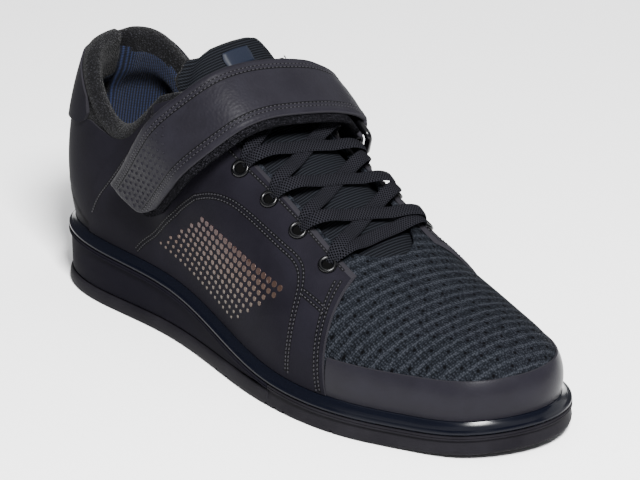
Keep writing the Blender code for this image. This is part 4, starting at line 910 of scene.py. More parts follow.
@dataclass
class Sheet:
    """A surface and its inner copy, closed along the open edges into one thin solid."""

    outer: Array
    inner: Array
    faces: list[Face]
    rim: int = 1

    def solid(self, round_share: float = 0.0) -> tuple[Array, list[Face], list[int]]:
        """The closed solid.

        Args:
            round_share: how far the edges stand out, as a share of the thickness.
        Returns:
            Points, faces and the kind of each face: 0 outer, 1 inner, 2 edge.
        """
        count = len(self.outer)
        sides: set[tuple[int, int]] = set()
        owner: dict[int, set[int]] = {}
        for face in self.faces:
            sides.update(zip(face, face[1:] + face[:1]))
            for corner in face:
                owner.setdefault(corner, set()).update(face)
        edges = [pair for pair in sides if (pair[1], pair[0]) not in sides]
        points = [self.outer, self.inner]
        faces = list(self.faces) + [tuple(c + count for c in reversed(face)) for face in self.faces]
        kinds = [0] * len(self.faces) + [1] * len(self.faces)
        away: dict[int, Array] = {}
        rows: list[dict[int, int]] = [{} for _ in range(self.rim)]
        for spot in sorted({corner for pair in edges for corner in pair}):
            inside = np.mean([self.outer[i] for i in owner[spot]], axis=0)
            across = unit(self.outer[spot] - self.inner[spot])
            out = self.outer[spot] - inside
            away[spot] = unit(out - across * float(out @ across))
        extra = []
        number = 2 * count
        for k in range(1, self.rim):
            angle = math.pi * k / self.rim
            for spot, way in away.items():
                middle = (self.outer[spot] + self.inner[spot]) / 2
                half = (self.outer[spot] - self.inner[spot]) / 2
                extra.append(middle + half * math.cos(angle)
                             + way * np.linalg.norm(half) * 2 * round_share * math.sin(angle))
                rows[k][spot] = number
                number += 1
        if extra:
            points.append(np.array(extra))
        for a, b in edges:
            ring = [(a, b), *((row[a], row[b]) for row in rows[1:]), (a + count, b + count)]
            for (p, q), (r, s) in zip(ring, ring[1:]):
                faces.append((q, p, r, s))
                kinds.append(2)
        return np.vstack(points), faces, kinds


@dataclass
class Stitching:
    """Thread as small round-ended capsules, pressed into the surface along a seam."""

    last: Last
    pitch: float = 0.0019
    length: float = 0.00135
    radius: float = 0.00036
    channel: float = 0.0007
    channel_lift: float = 0.00006
    reach: float = 0.0004
    section: int = 6
    heap: Heap = field(default_factory=Heap)

    def groove(self, line: Array, normals: Array, out: float) -> None:
        """Adds a dark strip of painted shade for the needle channel that the thread has pressed into the
        leather.
        """
        across = unit(np.cross(unit(normals), unit(np.gradient(line, axis=0)))) * self.channel
        lifted = line + unit(normals) * (out + self.channel_lift)
        self.heap.put(np.vstack([lifted - across, lifted + across]), grid_faces(2, len(line)), 1)

    def row(self, line: Array, normals: Array, out: float) -> None:
        """Adds the stitches of one row.

        Args:
            line: points of the seam in space.
            normals: outward normals along it.
            out: how far outside the line the thread lies.
        """
        self.groove(line, normals, out)
        run = run_of(line)
        for at in np.arange(self.pitch / 2, run[-1], self.pitch):
            behind, ahead, middle = (row_at(t, run, line) for t in (at - self.reach, at + self.reach, at))
            normal = unit(row_at(at, run, normals))
            along = unit(ahead - behind)
            self._capsule(middle + normal * out, along, np.cross(normal, along), normal)

    def _capsule(self, middle: Array, along: Array, beside: Array, up: Array) -> None:
        """Adds one stitch, as rings of place, size and lift."""
        rings = ((-0.5, 0.35, -0.3), (-0.36, 0.9, 0.0), (0.0, 1.0, 0.15), (0.36, 0.9, 0.0), (0.5, 0.35, -0.3))
        points = [middle + along * place * self.length + beside * self.radius * size * math.cos(angle)
                  + up * self.radius * (size * math.sin(angle) + lift)
                  for place, size, lift in rings for angle in circle(self.section)]
        self.heap.put(points, tube_faces(len(rings), self.section, capped=True))

    def side_row(self, side: Side, table: Sequence[tuple[float, float]], out: float) -> None:
        """Adds a row along a side-view line given in millimetres from the heel and the floor."""
        self.row(*self.last.from_side(side, resample(np.array(table) / 1000)), out)

    def make(self, name: str) -> bpy.types.Object:
        """All the rows as one piece."""
        return Bench.piece(name, np.vstack(self.heap.points), self.heap.faces, [THREAD, CHANNEL_SHADE],
                           Slot.LEATHER, kinds=self.heap.kinds, smooth=60)


@dataclass
class SoleUnit:
    """Outsole, heel block, welt and footbed."""

    last: Last
    turns: int = 260
    edge_round: float = 0.0010
    groove: float = 0.0004
    tread: tuple[float, ...] = (0.470, 0.500, 0.610, 0.630, 0.650, 0.745)
    tread_width: float = 0.0022
    tread_depth: float = 0.0016

    def ring(self, turns: Array, inset: Array, height: Callable) -> Array:
        """One ring round the sole, heel, lateral side, toe and back along the medial side."""
        halves = []
        for side in Side:
            x, y, _, _ = self.last.rail(side, turns, inset)
            halves.append(np.stack([x, y, height(x) + np.zeros_like(x)], axis=-1))
        return np.vstack([halves[0], halves[1][::-1]])

    def build_stack(self, name: str, rows: list, turns: Array, finish: Finish, slot: Slot,
                    replaces: str, hollow: bool = False) -> bpy.types.Object:
        """A closed solid from rings round the sole, each an inset and a height."""
        rings = [self.ring(turns, inset, height) for inset, height in rows]
        size = len(rings[0])
        faces = tube_faces(len(rings), size, closed=hollow)
        if not hollow:
            for low in (0, (len(rings) - 1) * size):
                far = low + size - 1
                faces += [(low + i, low + i + 1, far - 1 - i, far - i) for i in range(size // 2 - 1)]
        return Bench.piece(name, np.vstack(rings), faces, [finish], slot, [replaces], smooth=30)

    def build(self) -> None:
        """Builds the four pieces of the sole."""
        last, gap = self.last, self.last.gap
        ends = [float(last.turn_of(last.wedge_end)), float(last.turn_of(last.wedge_end + 0.001))]
        turns = np.unique(np.r_[np.linspace(0.0, 1.0, self.turns), ends])
        rear = turns <= ends[0]
        rows = [(0.0030, lambda x: last.ground(x) + 0.0002), (self.edge_round, last.ground),
                (0.0004, lambda x: last.ground(x) + 0.0004), (0.0001, lambda x: last.ground(x) + 0.0012),
                (0.0, lambda x: last.ground(x) + 0.0024)]
        lip = last.lip_height
        # Behind the wedge's end an inset and a share of the wall, counted down from its top; before
        # it, where the outsole is the whole sole, an inset and a distance under the lip's edge.
        for a, b, c, d in (
                (0.0001, 0.42, last.lip_proud, lip * 1.55), (0.0003, 0.25, last.lip_proud * 0.95, lip * 1.25),
                (0.0006, 0.14, last.lip_proud * 0.3, lip * 1.02), (0.0009, 0.07, 0.0, lip * 0.88),
                (0.0012, 0.03, 0.0, lip * 0.62), (0.0015, 0.012, self.groove, lip * 0.50),
                (0.0018, 0.004, 0.0, lip * 0.38), (0.0021, 0.002, 0.0001, lip * 0.14),
                (0.0026, 0.0, last.lip_proud * 0.5, 0.0)):
            rows.append((np.where(rear, a, c), lambda x, b=b, d=d: np.where(
                rear, last.split(x) - b * (last.split(x) - last.ground(x)), last.lip(x) - d)))
        outsole = self.build_stack("outsole_visual", rows, turns, SOLE, Slot.RUBBER, "outsole")
        cutters = []
        for x in np.array(self.tread) * last.length:
            half, floor = self.tread_width / 2, float(last.ground(x))
            outline = [(x - half, floor - 0.005), (x + half, floor - 0.005),
                       (x + half * 0.6, floor + self.tread_depth), (x - half * 0.6, floor + self.tread_depth)]
            cutters.append(Bench.prism(np.array(outline), -2 * last.ball, 2 * last.ball, SOLE))
        Bench.cut(outsole, cutters, "DIFFERENCE")
        Bench.settle(outsole, Slot.RUBBER, (), 30)

        def wall(share: float) -> Callable:
            """Height at a share of the wall between the outsole and the lip."""
            return lambda x: last.split(x) + gap + share * np.maximum(
                last.lip(x) - lip * 1.3 - last.split(x) - gap, 0.0)

        def under(share: float) -> Callable:
            """Height under the lip's top edge by a share of the lip."""
            return lambda x: np.maximum(last.lip(x) - lip * share, last.split(x) + gap)

        turns = np.linspace(0.0, float(last.turn_of(last.wedge_end - 0.001)), round(self.turns * 0.55))
        rows = [(0.0026, wall(0.0)), (0.0018, wall(0.015)), (0.0014, wall(0.06)), (0.00125, wall(0.5)),
                (0.0012, wall(0.9)), (0.0011, wall(1.0)), (0.0005, under(1.12)), (0.0, under(0.92)),
                (0.0, under(0.64)), (self.groove, under(0.52)), (0.0, under(0.40)), (0.0001, under(0.14)),
                (0.0006, last.lip)]
        self.build_stack("heel_block_visual", rows, turns, BLOCK, Slot.BLOCK, "heel_wedge")
        turns = np.linspace(0.0, 1.0, self.turns)
        depth = last.feather_inset(turns)
        rows = []
        # Inset as a share of the feather line's, the seat under the upper, and share of the height.
        for inset, seat, share in (
                (0.22, 0, 0.0), (0.10, 0, 0.03), (0.03, 0, 0.14), (0.05, 0, 0.27), (0.17, 0, 0.36),
                (0.30, 0, 0.40), (0.38, 0, 0.47), (0.50, 0, 0.60), (0.66, 0, 0.76), (0.72, 0, 0.88),
                (0.78, 0, 0.97), (0.88, 0, 1.02), (0.97, 0, 0.99), (1.0, last.welt_seat, 0.98),
                (1.0, last.welt_seat, 0.0)):
            rows.append((inset * depth + seat,
                         lambda x, share=share: last.lip(x) + gap + share * last.welt_height))
        self.build_stack("welt_visual", rows, turns, WELT, Slot.WELT, "welt", hollow=True)
        inset = depth + last.welt_seat + gap
        rows = [(inset + gap + shift, lambda x, share=share: last.lip(x) + gap + share * 0.0045)
                for shift, share in ((0.0, 0.0), (0.0, 0.7), (0.0006, 0.92), (0.0018, 1.0))]
        self.build_stack("footbed_visual", rows, turns, FOOTBED, Slot.FOOTBED, "insole")


@dataclass
class UpperShell:
    """The hollow upper and the panels that lie on it."""

    last: Last
    columns: int = 190
    rows: int = 46
    wall: float = 0.0026
    pad: float = 0.0095
    pad_depth: float = 0.034
    leather: float = 0.0013
    throat_margin: float = 0.0004

    def __post_init__(self) -> None:
        """Lays the grid that every panel shares."""
        self.turns = np.linspace(0.0, 1.0, self.columns + 1)
        self.edge = {side: self.last.edges(side, self.turns) for side in Side}
        self.closed = np.minimum(*self.edge.values()) > 0.999
        fronts = {Side.LATERAL: (0.722, 0.716, 0.706, 0.694), Side.MEDIAL: (0.745, 0.735, 0.716, 0.690)}
        self.quarter_front = {side: spline((0, 0.35, 0.7, 1), shares) for side, shares in fronts.items()}

    def grid(self, out: float | Array, sides: Sequence[Side], first: int, final: int,
             wall: Callable | None = None) -> tuple[Array, list[Face], Array]:
        """Points and faces of the upper's surface moved outwards.

        Args:
            out: how far, in metres.
            sides: which sides.
            first: the first column.
            final: the last column.
            wall: instead of out, a function of side and place that gives how far inwards.
        Returns:
            Points, faces and u, v in metres for each point.
        """
        heap, uvs = Heap(), []
        share = np.linspace(0, 1, self.rows + 1)
        for side in sides:
            turn = self.turns[first:final + 1, None]
            rise = self.edge[side][first:final + 1, None] * share[None, :]
            base = self.last.point(side, turn, rise)
            depth = out if wall is None else -wall(side, base[..., 0], base[..., 2])
            moved = self.last.surface(side, turn, rise, np.broadcast_to(depth, rise.shape))
            if side is sides[0]:
                kept = moved
            else:
                for c in range(final - first + 1):
                    if c + first in (0, self.columns):
                        moved[c] = kept[c]
                    elif self.closed[c + first]:
                        moved[c, -1] = kept[c, -1]
            around = np.broadcast_to((run_of(base[:, self.rows // 2]) * side.value)[:, None], rise.shape)
            uvs.append(np.stack([around, base[..., 2]], axis=-1).reshape(-1, 2))
            quads = grid_faces(*rise.shape)
            heap.put(moved.reshape(-1, 3), [quad[::-1] for quad in quads] if side is Side.MEDIAL else quads)
        return np.vstack(heap.points), heap.faces, np.vstack(uvs)

    def sheet(self, low: float, high: float, sides: Sequence[Side], first: int, final: int) -> Sheet:
        """A thin shell on the upper between two distances from it."""
        outer, faces, _ = self.grid(high, sides, first, final)
        inner, _, _ = self.grid(low, sides, first, final)
        keep, faces = weld(inner + outer, faces)
        return Sheet(outer[keep], inner[keep], faces)

    def column_at(self, share: float) -> int:
        """The grid's column at a share of the length."""
        return int(self.last.turn_of(share) * self.columns)

    def above_welt(self, first: float, final: float, count: int,
                   height: float = SEAT_GAP) -> list[tuple[float, float]]:
        """Side-view line at a height over the welt, between two shares of the length."""
        last = self.last
        return [(x, float(last.lip(x)) + last.welt_height + height)
                for x in np.linspace(first, final, count) * last.length]

    def panel(self, name: str, finish: Finish, sheet: Sheet, line: Sequence, span: tuple[float, float],
              replaces: Sequence[str] = ()) -> None:
        """Makes a panel from a sheet, trimmed by its outline in the side view.

        Args:
            name: the piece's name.
            finish: its material; the trimmed edge has its own.
            sheet: the sheet, larger than the panel.
            line: the outline, x and z.
            span: from where to where across the shoe the outline trims.
            replaces: CAD nodes that it stands for.
        """
        points, faces, _ = sheet.solid()
        piece = Bench.piece(name, points, faces, [finish], Slot.LEATHER, replaces)
        Bench.cut(piece, [Bench.prism(np.array(line), *span, CUT_EDGE_HIGHLIGHT)])
        Bench.settle(piece, Slot.LEATHER, (), 35)

    def wall_at(self, side: Side, x: Array, z: Array) -> Array:
        """Thickness of the wall: thin, and padded in a band under the collar."""
        depth = self.last.collar(side, x) - z
        pad = 1 - blend(self.pad_depth * 0.45, self.pad_depth, depth)
        pad = pad * blend(0.26, 0.20, x / self.last.length) * (0.72 + 0.28 * blend(0.0, 0.008, depth))
        return self.wall + (self.pad - self.wall) * pad

    def build_upper(self) -> None:
        """The hollow upper: mesh in front, knit collar behind, ribbed lining within."""
        last, whole = self.last, (tuple(Side), 0, self.columns)
        outer, faces, uv = self.grid(0.0, *whole)
        inner, _, _ = self.grid(0.0, *whole, self.wall_at)
        keep, faces = weld(outer, faces)
        sheet = Sheet(self.swell(outer[keep]), self.crease(inner[keep]), faces, rim=7)
        points, faces, kinds = sheet.solid(0.42)
        slots = []
        for face, kind in zip(faces, kinds):
            x, y, z = np.mean([points[c] for c in face], axis=0)
            if kind != 1:
                slots.append(int(x < 0.36 * last.length))
                continue
            top = float(last.collar(Side.LATERAL, x))
            lateral = y < 0.004 - 0.10 * max(0.0, x - 0.02)
            knit = x < 0.3 * last.length and (z > top - 0.007 or (lateral and z > top - 0.020))
            slots.append(1 if knit else 2)
        Bench.piece("upper_visual", points, faces, [MESH, KNIT, LINING], Slot.CLOTH, ["upper"],
                    slots, both_sides(uv[keep], len(points)), smooth=60)

    def crease(self, inner: Array) -> Array:
        """Presses the dark centre-back crease into the padded lining."""
        x, y, z = inner.T
        top = self.last.heel_top
        near = np.exp(-((y - 0.0035) / 0.0026) ** 2) * blend(0.055, 0.035, x) * blend(0.075, 0.090, z)
        near *= blend(top + 0.002, top - 0.006, z)
        moved = inner.copy()
        moved[:, 0] -= near * 0.0065
        return moved

    def swell(self, outer: Array) -> Array:
        """Lets the foam of the collar stand out between its edge and the seam under it."""
        x, y, z = outer.T
        depth = self.last.collar(Side.LATERAL, x) - z
        bulge = np.clip(1 - np.abs(depth - 0.0012) / 0.0038, 0, 1)
        bulge = bulge * bulge * (3 - 2 * bulge) * blend(0.33, 0.27, x / self.last.length) * 0.0016
        away = unit(np.stack([x - 0.055, y * 1.6, np.zeros_like(x)], axis=-1))
        return outer + away * bulge[:, None]

    def stay_line(self, side: Side, margin: float, count: int) -> Array:
        """Line beside the throat in the side view, from the collar to the vamp."""
        stay = self.last.lane(side, self.last.throat_edge(side) + margin)
        start = (self.last.throat_span[0] + 0.045) * self.last.length + 0.006
        end = float(self.quarter_front[side](1.0)) * self.last.length
        x = np.linspace(start, end, count)
        return np.stack([x, np.interp(x, stay[:, 2], stay[:, 4])], axis=-1)

    def front_line(self, side: Side, inset: float, count: int) -> Array:
        """Front edge of a quarter in the side view, from the eyestay down to the welt."""
        last, front = self.last, self.quarter_front[side]
        top = self.stay_line(side, self.throat_margin, 2)[-1]
        line = []
        for rise in np.linspace(1.0, 0.0, count):
            x = float(front(rise)) * last.length - inset
            low = float(last.lip(x)) + last.welt_height + SEAT_GAP
            line.append((x, low + (top[1] - low) * rise))
        return np.array(line)

    def build_quarter(self, side: Side) -> None:
        """Smooth side panel with the eyestay."""
        last = self.last
        rear = ((0.112, 0.26), (0.117, 0.36), (0.134, 0.47), (0.163, 0.58), (0.200, 0.68), (0.246, 0.79))
        line = [(x * last.length, z * last.heel_top) for x, z in rear]
        line += [(x, float(last.collar(side, x)) - 0.0016)
                 for x in np.linspace(0.270, 0.335, 8) * last.length]
        line += [*self.stay_line(side, self.throat_margin, 60), *self.front_line(side, 0.0, 24)[1:]]
        line += self.above_welt(0.70, 0.112, 50)
        sheet = self.sheet(last.gap, last.gap + self.leather, (side,),
                           self.column_at(0.112) - 3, self.column_at(0.745) + 5)
        near = float(last.ridge_y(line[75][0])) + side.value * 0.012
        name = f"quarter_{side.name.lower()}"
        self.panel(name + "_visual", LEATHER, sheet, line, (near, side.value * 0.11), [name])

    def build_counter(self) -> None:
        """Smooth cover round the heel, under the quarters' rear edges and the heel tab."""
        gap = self.last.gap
        line = [(-0.02, 0.088), (0.010, 0.090), (0.030, 0.0905), (0.040, 0.0915), (0.046, 0.0895),
                (0.055, 0.0872), (0.063, 0.0885), (0.072, 0.0965), (0.082, 0.106), (0.092, 0.113),
                (0.1, 0.116), *self.above_welt(0.34, -0.05, 40)]
        sheet = self.sheet(gap * 0.3, gap + 0.0004, tuple(Side), 0, self.column_at(0.36))
        self.panel("heel_counter_visual", LEATHER, sheet, line, (-0.09, 0.09))

    def build_toe_cap(self) -> None:
        """Smooth guard round the toe, from one quarter to the other."""
        gap = self.last.gap
        line = self.above_welt(0.70, 1.02, 40) + self.above_welt(1.02, 0.70, 40, 0.0185)
        sheet = self.sheet(gap * 0.5, gap + 0.0007, tuple(Side), self.column_at(0.724), self.columns)
        self.panel("toe_cap_visual", TOE_LEATHER, sheet, line, (-0.11, 0.11), ["toe_cap"])

    def build_heel_tab(self) -> None:
        """Smooth tab round the back of the collar."""
        last = self.last
        knots = np.array(((-0.05, 0.700), (0.030, 0.705), (0.078, 0.722), (0.106, 0.732), (0.120, 0.750),
                          (0.127, 0.785), (0.122, 0.850), (0.098, 0.920), (0.068, 0.985), (-0.05, 0.990)))
        sheet = self.sheet(last.gap, last.gap + self.leather + 0.0006, tuple(Side), 0, self.column_at(0.22))
        self.panel("heel_tab_visual", LEATHER, sheet, knots * np.array([last.length, last.heel_top]),
                   (-0.07, 0.07), ["heel_tab"])

    def build_seams(self) -> None:
        """All the stitch rows of the upper, a side-view table in millimetres for each."""
        last, out = self.last, self.last.gap + self.leather
        table = np.array(((70, 34.5), (76, 40.5), (83, 46), (93, 55.5), (108, 69.5), (117, 76.5), (128, 80.3),
                          (140, 80.6), (150, 78.2), (160, 74.9), (177, 68.6), (186.4, 63.7), (191.3, 56.9),
                          (193.1, 49.2), (194, 38), (193.6, 26.5), (193.2, 19.5)), float)
        slope = unit(np.gradient(table, axis=0))
        beside = np.stack([slope[:, 1], -slope[:, 0]], axis=-1)
        counter = np.array(((5, 59), (12, 50), (20, 43.3), (28, 37.4), (33, 35.2))) / 1000
        for side in Side:
            work = Stitching(last)
            for shift in (-0.9, 0.9):
                moved = table + beside * shift
                work.side_row(side, moved[5:], out)
                work.side_row(side, moved[:6], out)
            for inset in (0.0030, 0.0050):
                line = self.front_line(side, inset, 20)
                line[:, 1] += np.linspace(-0.002, 0.0012, 20)
                work.row(*last.from_side(side, resample(line)), out)
            stay = self.stay_line(side, 0.0042, 40)[:-2]
            work.row(*last.from_side(side, resample(stay)), out)
            for shift in (-0.9, 0.9):
                work.side_row(side, ((193.1, 55.0 + shift), (201, 52.2 + shift), (208.0, 49.4 + shift)), out)
            work.side_row(side, ((79.0, 97.3), (65.4, 80.4), (53.6, 64.9), (44.9, 54.3), (39.0, 44.5)), out)
            # Painted shade: a dark strip along a line on the heel, without thread.
            work.groove(*last.from_side(side, resample(counter)), last.gap + 0.0005)
            for shift in (0.0, 2.0):
                work.side_row(side, ((92.5 + shift, 113.0), (94.0 + shift, 106.4), (95.5 + shift, 98.0)), out)
            work.make(f"seam_thread_{side.name.lower()}")

    def build_foil(self) -> None:
        """Graded field of foil dots on the lateral quarter."""
        corners = np.array(((86.0, 43.0), (124.0, 69.0), (187.0, 55.0), (150.0, 27.0))) / 1000
        heap, (columns, rows) = Heap(), (17, 9)
        for i in range(columns):
            for j in range(rows):
                u, v = (i + 0.5 * (j % 2) + 0.25) / columns, (j + 0.5) / rows
                low = corners[0] * (1 - u) + corners[3] * u
                high = corners[1] * (1 - u) + corners[2] * u
                radius = 0.00175 * (0.50 + 0.50 * v) * (0.82 + 0.18 * math.sin(math.pi * u))
                self._dot(heap, low * (1 - v) + high * v, radius)
        Bench.piece("foil_dots", np.vstack(heap.points), heap.faces, [FOIL], Slot.LEATHER, smooth=50)

    def _dot(self, heap: Heap, spot: Array, radius: float, count: int = 18) -> None:
        """Adds one thin foil disc that follows the side of the shoe."""
        ring = spot + radius * np.array([(math.cos(a), math.sin(a)) for a in circle(count)])
        inside = spot + (ring - spot) * 0.9
        where, normals = self.last.from_side(Side.LATERAL, np.vstack([ring, inside, spot[None]]))
        if len(where) < 2 * count + 1:
            return
        lift = np.r_[np.full(count, -0.0001), np.full(count, 0.00012), 0.00012]
        middle = [(count + k, count + (k + 1) % count, 2 * count) for k in range(count)]
        places = where + normals * (self.last.gap + self.leather + lift)[:, None]
        heap.put(places, tube_faces(2, count) + middle)


@dataclass
class Tongue:
    """Padded tongue with a plain patch near its top."""

    last: Last
    top: float = 0.1420
    width: float = 0.074
    lean: float = 0.004
    thickness: float = 0.0062
    tuck: float = 0.0160
    cover: float = 0.0038
    rows: int = 76
    across: int = 49
    patch: int = 15

    def __post_init__(self) -> None:
        """Draws the tongue's middle line, from the vamp up to its top."""
        last, span = self.last, np.linspace(0.40, 1.0, 600)
        foot = float(np.interp(last.throat_span[1] * last.length + self.tuck,
                               last.crest(Side.LATERAL, span)[:, 0], span))
        ridge = last.crest(Side.LATERAL, np.linspace(0.4005, foot, 300)[::-1])
        self.ridge = ridge[ridge[:, 2] < self.top]
        self.run = run_of(self.ridge)
        self.cuts: dict[float, tuple] = {}

    def cut_at(self, share: float) -> tuple[Array, Array, Array]:
        """Section of the last across a share of the middle line: distances, places and normals."""
        at, aside = share * self.run[-1], np.array([0.0, 1.0, 0.0])
        point, ahead, behind = (row_at(at + d, self.run, self.ridge) for d in (0.0, 0.002, -0.002))
        along = unit((ahead - behind) * np.array([1.0, 0.0, 1.0]))
        out = np.array([along[2], 0.0, -along[0]])
        centre = Vector(point - out * self.width * 0.4)
        points, outs = [], []
        for angle in np.radians(np.linspace(-125.0, 125.0, 141)):
            ray = Vector(out * math.cos(angle) + aside * math.sin(angle))
            place, normal, _, _ = self.last.tree.ray_cast(centre, ray)
            if place is not None:
                points.append(tuple(place))
                outs.append(tuple(normal if normal.dot(ray) > 0 else -normal))
        spots, ways = np.array(points), np.array(outs)
        for _ in range(5):
            ways[1:-1] = (ways[:-2] + ways[1:-1] * 2 + ways[2:]) / 4
        length = run_of(spots)
        return length - length[int(np.argmin(np.linalg.norm(spots - point, axis=1)))], spots, unit(ways)

    def frame_at(self, share: float, at: float) -> tuple[Array, Array]:
        """Place and outward direction on the last at a share of the run and a distance across."""
        if share not in self.cuts:
            self.cuts[share] = self.cut_at(share)
        places, spots, ways = self.cuts[share]
        return row_at(at, places, spots), unit(row_at(at, places, ways))

    def build(self) -> None:
        """Builds the tongue and its patch."""
        widths = spline((0.0, 0.15, 0.55, 0.75, 0.88, 0.95, 1.0), (0.62, 0.76, 0.84, 0.94, 1.0, 0.92, 0.66))
        outer, inner, uv = [], [], []
        for i in range(self.rows):
            share = math.sin(math.pi / 2 * i / (self.rows - 1)) * 0.35 + 0.65 * i / (self.rows - 1)
            for offset in -1 + 2 * np.arange(self.across) / (self.across - 1):
                at = offset * self.width / 2 * float(widths(share)) - self.lean * share
                spot, normal = self.frame_at(share, at)
                near = min(1 - abs(offset), (1 - share) * 2.2)
                edge = 1 - 0.60 * (1 - float(blend(0.0, 0.30, near)))
                throat = blend(0.0215, 0.011, abs(at)) * blend(0.14, 0.26, share) * blend(1.0, 0.8, share)
                puff = 0.0012 * float(blend(0.0, 0.35, near)) * float(blend(0.70, 0.85, share))
                outer.append(spot - normal * (self.cover - puff - 0.0024 * float(throat)))
                inner.append(spot - normal * (self.cover + self.thickness * edge))
                uv.append((at, share * self.run[-1]))
        sheet = Sheet(np.array(outer), np.array(inner), grid_faces(self.rows, self.across), rim=6)
        points, faces, kinds = sheet.solid(0.45)
        piece = Bench.piece("tongue_visual", points, faces, [TONGUE_CLOTH, KNIT, KNIT], Slot.CLOTH,
                            ["tongue"], kinds, both_sides(uv, len(points)), smooth=60)
        self.build_patch()

    def build_patch(self) -> None:
        """Plain rounded silicone patch near the tongue's top."""
        outer, inner = [], []
        places = -1 + 2 * np.arange(self.patch) / (self.patch - 1)
        for a in places:
            for b in places:
                c, d = a * math.sqrt(1 - b * b * 0.25), b * math.sqrt(1 - a * a * 0.25)
                spot, normal = self.frame_at(0.945 + 0.030 * c, 0.0085 * d - self.lean)
                lift = 0.0010 * float(blend(1.0, 0.8, max(abs(c), abs(d))))
                outer.append(spot - normal * (self.cover - 0.0014 - lift))
                inner.append(spot - normal * (self.cover + 0.0005))
        points, faces, _ = Sheet(np.array(outer), np.array(inner), grid_faces(self.patch, self.patch)).solid()
        Bench.piece("tongue_patch", points, faces, [PATCH], Slot.CLOTH, smooth=50)


@dataclass
class Lacing:
    """Eyelets and the flat lace that runs through them."""

    last: Last
    pairs: int = 5
    pitch: float = 0.064
    margin: float = 0.0085
    radius: float = 0.0044
    hole: float = 0.0023
    height: float = 0.0013
    width: float = 0.0066
    thickness: float = 0.0014
    leather: float = 0.0013
    dip: float = 0.0046
    bend: float = 0.0075
    facets: int = 40
    section: int = 14
    bore_facets: int = 24
    over: tuple[float, float, float] = (0.38, 0.0, 0.92)

    def spot(self, side: Side, pair: int) -> tuple[float, float]:
        """Turn and rise of an eyelet: pair 0 is the lowest."""
        share = {Side.LATERAL: 0.650, Side.MEDIAL: 0.643}[side] - self.pitch * pair
        lane = self.last.lane(side, self.last.throat_edge(side))
        along = np.maximum.accumulate(lane[:, 2])
        turn = float(np.interp(share * self.last.length, along, lane[:, 0]))
        rise = float(np.interp(share * self.last.length, along, lane[:, 1]))
        rises = np.linspace(0.0, 1.0, self.last.rise_samples)
        points = self.last.point(side, np.full_like(rises, turn), rises)
        run = run_of(points)
        return turn, float(np.interp(np.interp(rise, rises, run) - self.margin, run, rises))

    def build_eyelet(self, side: Side, pair: int) -> None:
        """Rolled ring, turned as one closed profile, with its dark bore."""
        turn, rise = self.spot(side, pair)
        place, normal = self.last.point(side, turn, rise), self.last.normal(side, turn, rise)
        seat = place + normal * (self.last.gap + self.leather)
        turned = Vector(normal).to_track_quat("Z", "Y").to_matrix()

        def turned_at(radius: float, angle: float, height: float) -> tuple[float, ...]:
            """Place beside the eyelet's axis."""
            local = Vector((radius * math.cos(angle), radius * math.sin(angle), height))
            return tuple(Vector(seat) + turned @ local)

        middle, half = (self.radius + self.hole) / 2, (self.radius - self.hole) / 2
        profile = [(middle + half * math.cos(a), 0.0002 + self.height * max(math.sin(a), -0.35))
                   for a in circle(self.section)]
        points = [turned_at(radius, angle, height)
                  for angle in circle(self.facets) for radius, height in profile]
        faces = [(a, d, c, b) for a, b, c, d in tube_faces(self.facets, self.section, closed=True)]
        name = f"eyelet_{side.name.lower()}_{pair + 1}"
        Bench.piece(name + "_visual", np.array(points), faces, [ENAMEL], Slot.METAL, [name], smooth=60)
        disc = [turned_at(self.hole * 1.15, angle, 0.00012) for angle in circle(self.bore_facets)]
        under = [tuple(Vector(p) - Vector(normal) * 0.0006) for p in disc]
        Bench.piece(name + "_bore", np.array(disc + under), drum_faces(len(disc)), [SHADOW], Slot.METAL)

    def strand(self, first: tuple[Side, int], final: tuple[Side, int],
               lift: float) -> tuple[Array, list[Face], Array]:
        """One run of lace from eyelet to eyelet, dipping into both bores.

        Args:
            first: side and pair where it starts.
            final: side and pair where it ends.
            lift: how far it rides over the runs under it.
        Returns:
            Points, faces and u, v in metres.
        """
        steps, section = 64, 12
        spots = [(side, *self.spot(side, pair)) for side, pair in (first, final)]
        ends, ways = [self.last.point(*spot) for spot in spots], [self.last.normal(*spot) for spot in spots]
        over = unit(np.array(self.over))
        high = self.leather + self.height + self.last.gap * 6 + lift
        middle, normals = [], []
        for share in np.linspace(0.0, 1.0, steps):
            base = ends[0] + (ends[1] - ends[0]) * share
            spot, normal, _, _ = self.last.tree.ray_cast(Vector(base + over * 0.15), -Vector(over))
            normal = np.array(normal) if normal.dot(Vector(over)) > 0 else -np.array(normal)
            dip = self.dip * float(blend(0.15, 0.35, share) * blend(0.85, 0.65, share))
            middle.append(np.array(spot) + normal * (high - dip))
            normals.append(normal)
        middle, normals = np.array(middle), np.array(normals)
        for _ in range(10):
            normals[1:-1] = unit(normals[:-2] + normals[1:-1] + normals[2:])
            middle[1:-1] = (middle[:-2] + middle[1:-1] * 2 + middle[2:]) / 4
        share = np.linspace(0, 1, steps)
        span = np.linalg.norm(ends[1] - ends[0])
        near = [np.clip(1 - away * span / self.bend, 0, 1) for away in (share, 1 - share)]
        for k in (0, 1):
            middle = middle - ways[k] * (near[k] ** 1.6 * (high + 0.0016))[:, None]
        run = unit(np.gradient(middle, axis=0))
        across = unit(np.cross(normals, run))
        up = unit(np.cross(run, across))
        narrow = 1 - 0.52 * np.maximum(near[0], near[1]) ** 1.3
        length = run_of(middle)
        points, uv = [], []
        for i in range(steps):
            for angle in circle(section):
                c, s = math.cos(angle), math.sin(angle)
                wide = math.copysign(abs(c) ** 0.6, c) * self.width / 2 * narrow[i]
                tall = math.copysign(abs(s) ** 0.8, s) * self.thickness / 2 * (1 + 0.35 * (1 - narrow[i]))
                points.append(middle[i] + across[i] * wide + up[i] * (tall + self.thickness / 2))
                uv.append((wide, length[i]))
        return np.array(points), tube_faces(steps, section, capped=True), np.array(uv)

